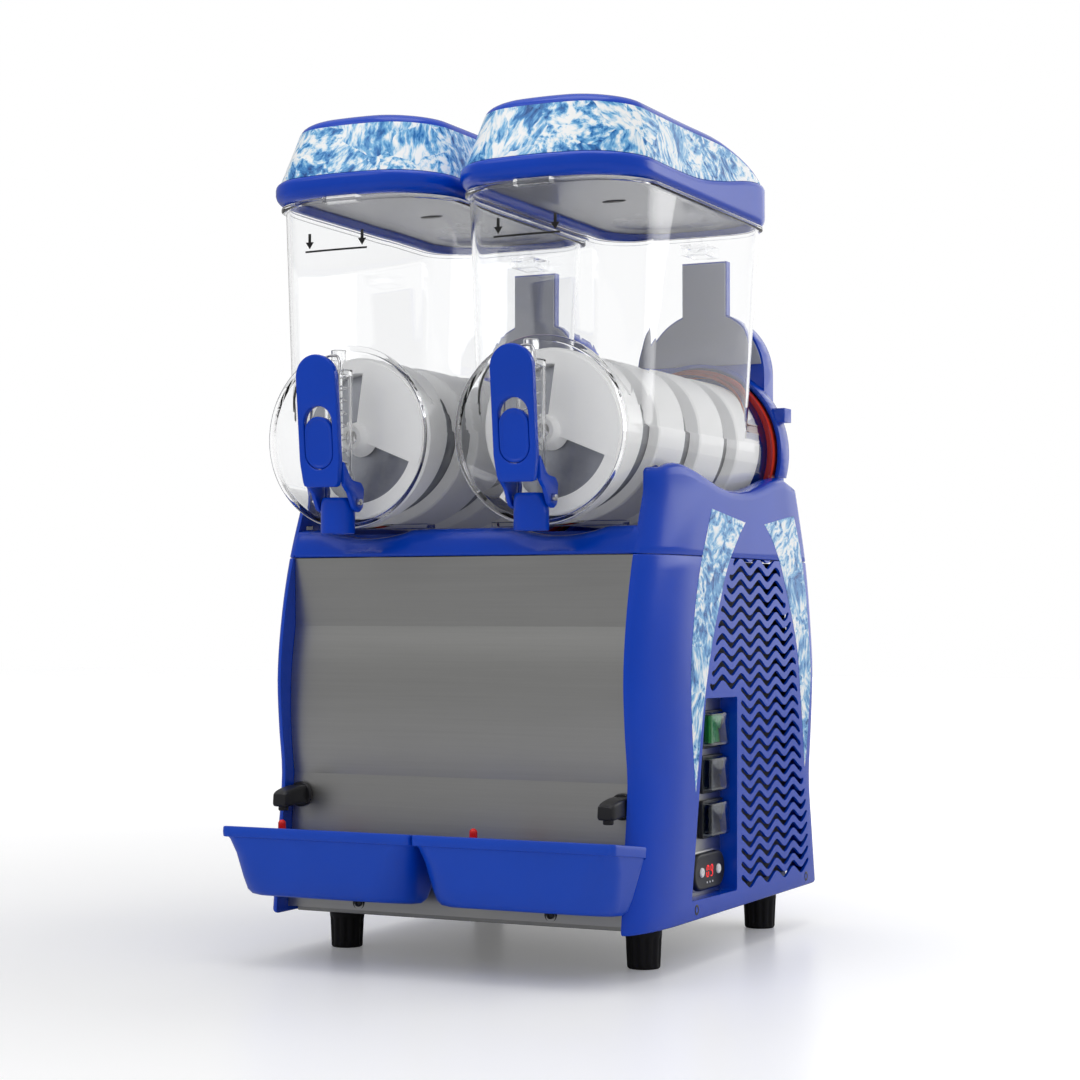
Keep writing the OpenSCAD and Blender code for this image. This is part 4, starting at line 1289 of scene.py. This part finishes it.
def band_shape():
    """The printed film on the leaning wall, as a thin closed strip."""
    rings = []
    for j, (_, y) in enumerate(lid_plan(0)):
        _, high, low = lid_heights(y)
        if high - low < 2.5:
            continue
        low, high = low + 0.6, high - 0.2
        ring = []
        for lift in (0.25, -0.3):
            steps = range(9) if lift > 0 else range(8, -1, -1)
            for k in steps:
                z = lerp(low, high, k / 8)
                ring.append(lid_plan(lean(z, low - 0.6) - lift)[j] + (z,))
        rings.append(ring)
    return loft(rings)


def make_lids():
    shell, band = lid_shape(), band_shape()
    for side, x in UNIT_X.items():
        body = "lid_" + side
        piece("lid_cover_" + side, moved(shell, x), body, BLUE, ["lid_shell_" + side], 55)
        piece("lid_film_" + side, moved(band, x), body, ICE, ["lid_band_" + side], 50)
        steps = ((725.8, 14.9), (722.6, 15.4), (722.3, 16.2), (722.3, 24), (722.9, 25), (722.9, 40))
        rings = [level(lid_plan(inset), z) for z, inset in steps]
        piece(
            "lid_plate_" + side, moved(loft(rings), x), body, DIFFUSER,
            ["lid_diffuser_" + side], 40
        )
        mark = turned([(0, 722.2), (6.2, 722.3), (7, 722.7), (7, 723.2)], (0, 0), "z", 32)
        verts, faces = mark
        mark = ([(px * 1.8 + x, py * 0.8 - 40, z) for px, py, z in verts], faces)
        piece("lid_mark_" + side, mark, body, INK)


# ---------- taps ----------

def paddle_outline():
    half, low = 21, 466
    out = arc(0, LEVER_TOP - half, half, 0, 180, 32)
    out += [(-half, lerp(LEVER_TOP - half, low, k / 6)) for k in range(1, 7)]
    out += [(-20.6, 461), (-18.6, 446), (-17.4, 442.4), (-14.4, 441)]
    out += [(14.4, 441), (17.4, 442.4), (18.6, 446), (20.6, 461)]
    out += [(half, lerp(low, LEVER_TOP - half, k / 6)) for k in range(0, 6)]
    return out


CHEEK = [
    (-251, 466), (-250, 442), (-236, 437), (-226.5, 421.5), (-218, 418.5), (-210.5, 423), (-208.8, 441),
    (-214, 446.5), (-230, 448)
]
LEAN = 0.1


def leaned(shape):
    """The paddle leans forward towards its top."""
    verts, faces = shape
    return [(x, y - LEAN * (z - 502) if z > 441 and y < -240 else y, z) for x, y, z in verts], faces


def make_taps():
    for side, x in UNIT_X.items():
        bowl, lever = "bowl_" + side, "lever_" + side
        outline = [(px + x, z) for px, z in paddle_outline()]
        hole = [(px + x, z) for px, z in stadium(15, 457, 515)]
        parts = [plate([outline, hole], "y", -259, -251, 1.5)]
        for s in (-1, 1):
            cheek = rounded(CHEEK, [2, 3, 6, 5, 5, 6, 5, 6, 14], 5)
            pin_hole = arc(TAP_Y, PIVOT_Z, 3.15, 0, 345, 23)
            parts.append(plate([cheek, pin_hole], "x", x + 19 * s - 2, x + 19 * s + 2, 0.7))
        piece("paddle_" + side, leaned(joined(*parts)), lever, BLUE, ["tap_lever_" + side], 40)
        button = []
        for y, inset in (
            (-252.2, 0.5), (-257.4, 0.5), (-258.1, 0.9), (-258.4, 1.8), (-258.2, 2.6), (-257.6, 3.4),
            (-257.5, 5.0)
        ):
            button.append([(px + x, y, z) for px, z in stadium(15 - inset, 457 + inset, 506 - inset)])
        piece(
            "paddle_button_" + side, leaned(loft(button)), lever, BLUE, ["lever_insert_" + side], 40
        )
        # wire fork that lifts the piston, hooked into the paddle
        wire = [(9.6, -248, 449), (11, -246, 455), (14, -245.6, 468), (14.8, -245, 500), (13.4, -243, 538)]
        wire += [(11.6, -238, 553), (8.6, -235, 560), (4.2, -232.6, 563.4)]
        loop = wire + [(-px, y, z) for px, y, z in reversed(wire)]
        path = smooth_line([(px + x, y, z) for px, y, z in loop], 6)
        piece("lift_wire_" + side, tube(path, 1.25, 14), lever, SHAFT)
        # spring round the piston's stem
        turns, r, wire_r = 7, 7.6, 0.9
        lo, hi = span("tap_spring_" + side)
        coil = []
        for i in range(turns * 28 + 1):
            a = 2 * math.pi * i / 28
            z = lerp(lo[2] + wire_r, hi[2] - wire_r, i / (turns * 28))
            coil.append((x + r * math.cos(a), TAP_Y + r * math.sin(a), z))
        piece("spring_" + side, tube(coil, wire_r, 10), bowl, SHAFT, ["tap_spring_" + side], 60)
        make_spout(side, x, bowl)


def make_spout(side, x, body):
    """The blue outlet below the barrel, with a rib to the bowl's front."""
    profile = [
        (13.4, 430.6), (13.4, 432.4), (14.2, 432.2), (15.2, 430.6), (15.8, 427.6), (16, 424), (16, 401.2),
        (15.7, 399.6)
    ]
    profile += [(14.8, 399), (11.4, 399), (10.4, 400), (10, 402), (10, 428), (13.4, 430.6)]
    outlet = turned(profile, (x, TAP_Y), "z", 72)
    rib = bar(rounded(rectangle(x - 9, -209.6, x + 9, -206.2), 1.2, 3), "z", 403, 427)
    piece("spout_" + side, joined(outlet, rib), body, BLUE, ["spout_block_" + side], 38)


# ---------- drip trays ----------

TRAY_TILT = math.radians(-7)


def tray_place(points, x):
    """Tray coordinates to the frame: the mouth leans back from the front lip."""
    c, s = math.cos(TRAY_TILT), math.sin(TRAY_TILT)
    return [(px + x, TRAY_Y + 1.2 + py * c - pz * s, 129 + py * s + pz * c) for px, py, pz in points]


def tray_ring(half, y0, y1, front_r, rear_r, z):
    return [(px, py, z) for px, py in plan(half, y0, y1, front_r, rear_r, 0)]


def panel_limit(x, y, z, gap=0.8):
    """Keeps a tray's outer rear corner clear of the side panel's front."""
    edge_x = 177.4 - gap
    line = lerp(-204.2, -187, (z - 30) / 150) - gap
    reach = abs(x) - edge_x
    if reach > 0 and y > line:
        if reach < y - line:
            return math.copysign(edge_x, x), y, z
        return x, line, z
    return x, y, z


def make_trays():
    rows = [
        (98.6, 0.9, 82.0, 7, 4, -9.8), (99.1, 0.4, 82.2, 7, 4, -9.4), (99.3, 0.1, 82.4, 7, 4, -8.6),
        (99.4, 0, 82.5, 6, 4, -5), (99.4, 0, 82.5, 6, 4, -1.4), (
            99.1, 0.3, 82.2, 6, 4, -0.5
        ), (98.2, 1.2, 81.3, 6, 4, 0),
        (96.4, 3.0, 79.6, 8, 5, 0), (95.6, 3.8, 78.8, 10, 6, -0.6), (94.8, 4.6, 78.0, 14, 7, -2.4),
        (94.0, 5.4, 77.4, 24, 9, -6), (93.2, 6.0, 77.2, 30, 10, -9), (91.4, 7.4, 75.6, 33, 10, -26),
        (
            87.2, 10.6, 72.6, 34, 10, -50
        ), (83.0, 14, 70, 34, 12, -57.4), (75, 19, 66, 32, 14, -59.2), (40, 34, 54, 18, 8, -59.5),
    ]
    under = [
        (40, 34, 54, 18, 8, -62), (77, 18, 68, 32, 14, -61.8), (
            83.6, 13, 71.2, 34, 13, -60.4
        ), (87.0, 10, 73.6, 34, 12, -56.4),
        (90.2, 7.8, 75.4, 32, 12, -46), (94.6, 4.0, 78.4, 26, 12, -24), (
            97.2, 1.9, 80.3, 17, 8, -11.4
        ), (97.6, 1.6, 80.8, 14, 7, -9.9),
    ]
    for side, x in UNIT_X.items():
        body = "tray_" + side
        rings = [tray_ring(*row) for row in under] + [tray_ring(*row) for row in rows]
        rings = [[panel_limit(*p) for p in tray_place(ring, x)] for ring in rings]
        rings.append(rings[0])
        shape = loft(rings, first=False, last=False)
        inner_floor = list(
            range((len(under) + len(rows) - 1) * len(rings[0]), (len(under) + len(rows)) * len(rings[0]))
        )
        shape[1].append(tuple(inner_floor))
        shape[1].append(tuple(range(len(rings[0]))))
        del shape[1][(len(rings) - 2) * len(rings[0]):(len(rings) - 1) * len(rings[0])]
        piece("tray_tub_" + side, shape, body, TRAY_BLUE, ["drip_tray_" + side], 38)
        lo, hi = span("tray_float_" + side)
        fx, fy, tip = (lo[0] + hi[0]) / 2, (lo[1] + hi[1]) / 2, hi[2] - 4
        profile = [
            (0, lo[2]), (5.6, lo[2]), (6.5, lo[2] + 1), (6.5, lo[2] + 11), (5.8, lo[2] + 12),
            (3.6, lo[2] + 12.4), (3.6, tip - 4)
        ]
        profile += [
            (3.6 * math.cos(math.radians(a)), tip - 3.6 + 3.6 * math.sin(math.radians(a)))
            for a in range(0, 91, 10)
        ]
        profile[-1] = (0, tip)
        piece(
            "float_stem_" + side, turned(profile, (fx, fy), "z", 40), "float_" + side, RED,
            ["tray_float_" + side], 40
        )


# ---------- floor, light and camera ----------

def make_floor():
    n = Nodes("studio_floor")
    rays = n.add("ShaderNodeLightPath")
    cloud = n.noise(n.place, 1.6, 3.0)
    # Seen in glossy reflections the floor turns dark grey: painted shade in the machine's reflections of the
    # floor.
    floor_tone_and_reflected_shade = n.add("ShaderNodeMix", data_type="RGBA")
    n.link(rays.outputs["Is Glossy Ray"], floor_tone_and_reflected_shade.inputs[0])
    n.link(n.ramp(cloud, [(0.2, (0.88, 0.88, 0.89, 1)), (0.8, (0.90, 0.90, 0.90, 1))]), floor_tone_and_reflected_shade.inputs[6])
    floor_tone_and_reflected_shade.inputs[7].default_value = (0.42, 0.42, 0.43, 1)
    n.link(floor_tone_and_reflected_shade.outputs[2], n.shader.inputs["Base Color"])
    n.link(n.spread(cloud, 0.30, 0.34), n.shader.inputs["Roughness"])
    # The glow seen by the camera grows with distance from the machine, so the floor near it reads darker:
    # painted shadow round the machine.
    away = n.add("ShaderNodeVectorMath", operation="LENGTH")
    n.link(n.place, away.inputs[0])
    glow = n.add("ShaderNodeMapRange", **{"From Min": 0.5, "From Max": 2.0, "To Min": 0.13, "To Max": 0.46})
    n.link(away.outputs["Value"], glow.inputs["Value"])
    seen = n.math("MAXIMUM", rays.outputs["Is Camera Ray"], rays.outputs["Is Transmission Ray"])
    strength = n.math("MULTIPLY", seen, glow.outputs["Result"])
    n.link(strength, n.shader.inputs["Emission Strength"])
    n.set(Specular_IOR_Level=0.3, Emission_Color=(1, 1, 1, 1))
    size, drop = 9000, -0.05
    corners = [(-size, -size, drop), (size, -size, drop), (size, size, drop), (-size, size, drop)]
    mesh = mesh_of("studio_floor", (corners, [(0, 1, 2, 3)]))
    if mesh.polygons[0].normal.z < 0:
        mesh.flip_normals()
    floor = new_object("studio_floor", mesh)
    mesh.materials.append(n.material)


def make_world():
    """White surroundings to the camera, with a darker front and a bright rear for reflections."""
    world = bpy.data.worlds.new("studio")
    bpy.context.scene.world = world
    world.use_nodes = True
    tree = world.node_tree
    tree.nodes.clear()

    def add(kind, **settings):
        node = tree.nodes.new(kind)
        for key, value in settings.items():
            setattr(node, key, value)
        return node

    place = add("ShaderNodeTexCoord")
    split = add("ShaderNodeSeparateXYZ")
    tree.links.new(place.outputs["Generated"], split.inputs[0])

    def along(axis, values, curve="SMOOTHSTEP"):
        """A strength that changes along one axis: where it starts and ends, and its value at each."""
        node = add("ShaderNodeMapRange", interpolation_type=curve)
        for socket, value in zip(node.inputs[1:5], values):
            socket.default_value = value
        tree.links.new(split.outputs[axis], node.inputs["Value"])
        return node.outputs["Result"]

    total = add("ShaderNodeMath", operation="ADD")
    tree.links.new(along("Y", (0.84, 0.95, 0.38, 1.7)), total.inputs[0])
    tree.links.new(along("Z", (0.1, 0.95, 0.0, 0.35)), total.inputs[1])
    rays = add("ShaderNodeLightPath")
    seen = add("ShaderNodeMath", operation="MAXIMUM")
    tree.links.new(rays.outputs["Is Camera Ray"], seen.inputs[0])
    tree.links.new(rays.outputs["Is Transmission Ray"], seen.inputs[1])
    choice = add("ShaderNodeMix", data_type="FLOAT")
    tree.links.new(rays.outputs["Is Diffuse Ray"], choice.inputs[0])
    tree.links.new(total.outputs[0], choice.inputs[2])
    tree.links.new(along("Z", (-1.0, 1.0, 0.0, 1.15), "LINEAR"), choice.inputs[3])
    around = add("ShaderNodeBackground")
    tree.links.new(choice.outputs[0], around.inputs["Strength"])
    plain = add("ShaderNodeBackground")
    plain.inputs["Strength"].default_value = 1.0
    plain.inputs["Color"].default_value = (1, 1, 1, 1)
    mix = add("ShaderNodeMixShader")
    tree.links.new(seen.outputs[0], mix.inputs[0])
    tree.links.new(around.outputs[0], mix.inputs[1])
    tree.links.new(plain.outputs[0], mix.inputs[2])
    out = add("ShaderNodeOutputWorld")
    tree.links.new(mix.outputs[0], out.inputs["Surface"])


def soft_light(name, location, target, size, power, size_y=None):
    """A rectangular soft box that faces a target. Places are in metres."""
    data = bpy.data.lights.new(name, "AREA")
    data.shape = "RECTANGLE"
    data.size = size
    data.size_y = size_y or size
    data.energy = power
    lamp = bpy.data.objects.new(name, data)
    bpy.context.scene.collection.objects.link(lamp)
    lamp.location = location
    lamp.rotation_euler = (Vector(target) - Vector(location)).to_track_quat("-Z", "Y").to_euler()
    return lamp


def make_light():
    soft_light("key_front_left", (-1.3, -1.9, 2.6), (0, 0, 0.35), 1.6, 9)
    soft_light("top_box", (0.1, -0.2, 2.6), (0, 0, 0.5), 1.6, 16)
    soft_light("rear_right", (1.9, 2.2, 1.3), (0.1, 0, 0.4), 1.4, 12)


def make_camera():
    data = bpy.data.cameras.new("camera")
    data.lens = 76.16
    data.sensor_width = 36
    data.clip_start = 0.05
    camera = bpy.data.objects.new("camera", data)
    bpy.context.scene.collection.objects.link(camera)
    camera.location = (0.99673, -2.04383, 0.32592)
    camera.rotation_euler = (math.radians(90 + 1.8245), 0, math.radians(25.978))
    bpy.context.scene.camera = camera


make_side_panels()
make_vent_shade_sheets()
make_front_panel()
make_deck()
make_feet()
make_screws()
make_drain_spouts()
make_controls()
make_thermostat()
make_kept()
make_gaskets()
make_augers()
make_bowls()
make_lids()
make_taps()
make_trays()
make_floor()
make_world()
make_light()
make_camera()
bpy.context.scene.view_settings.view_transform = "Standard"
bpy.context.scene.cycles.max_bounces = 28
bpy.context.scene.cycles.transmission_bounces = 28
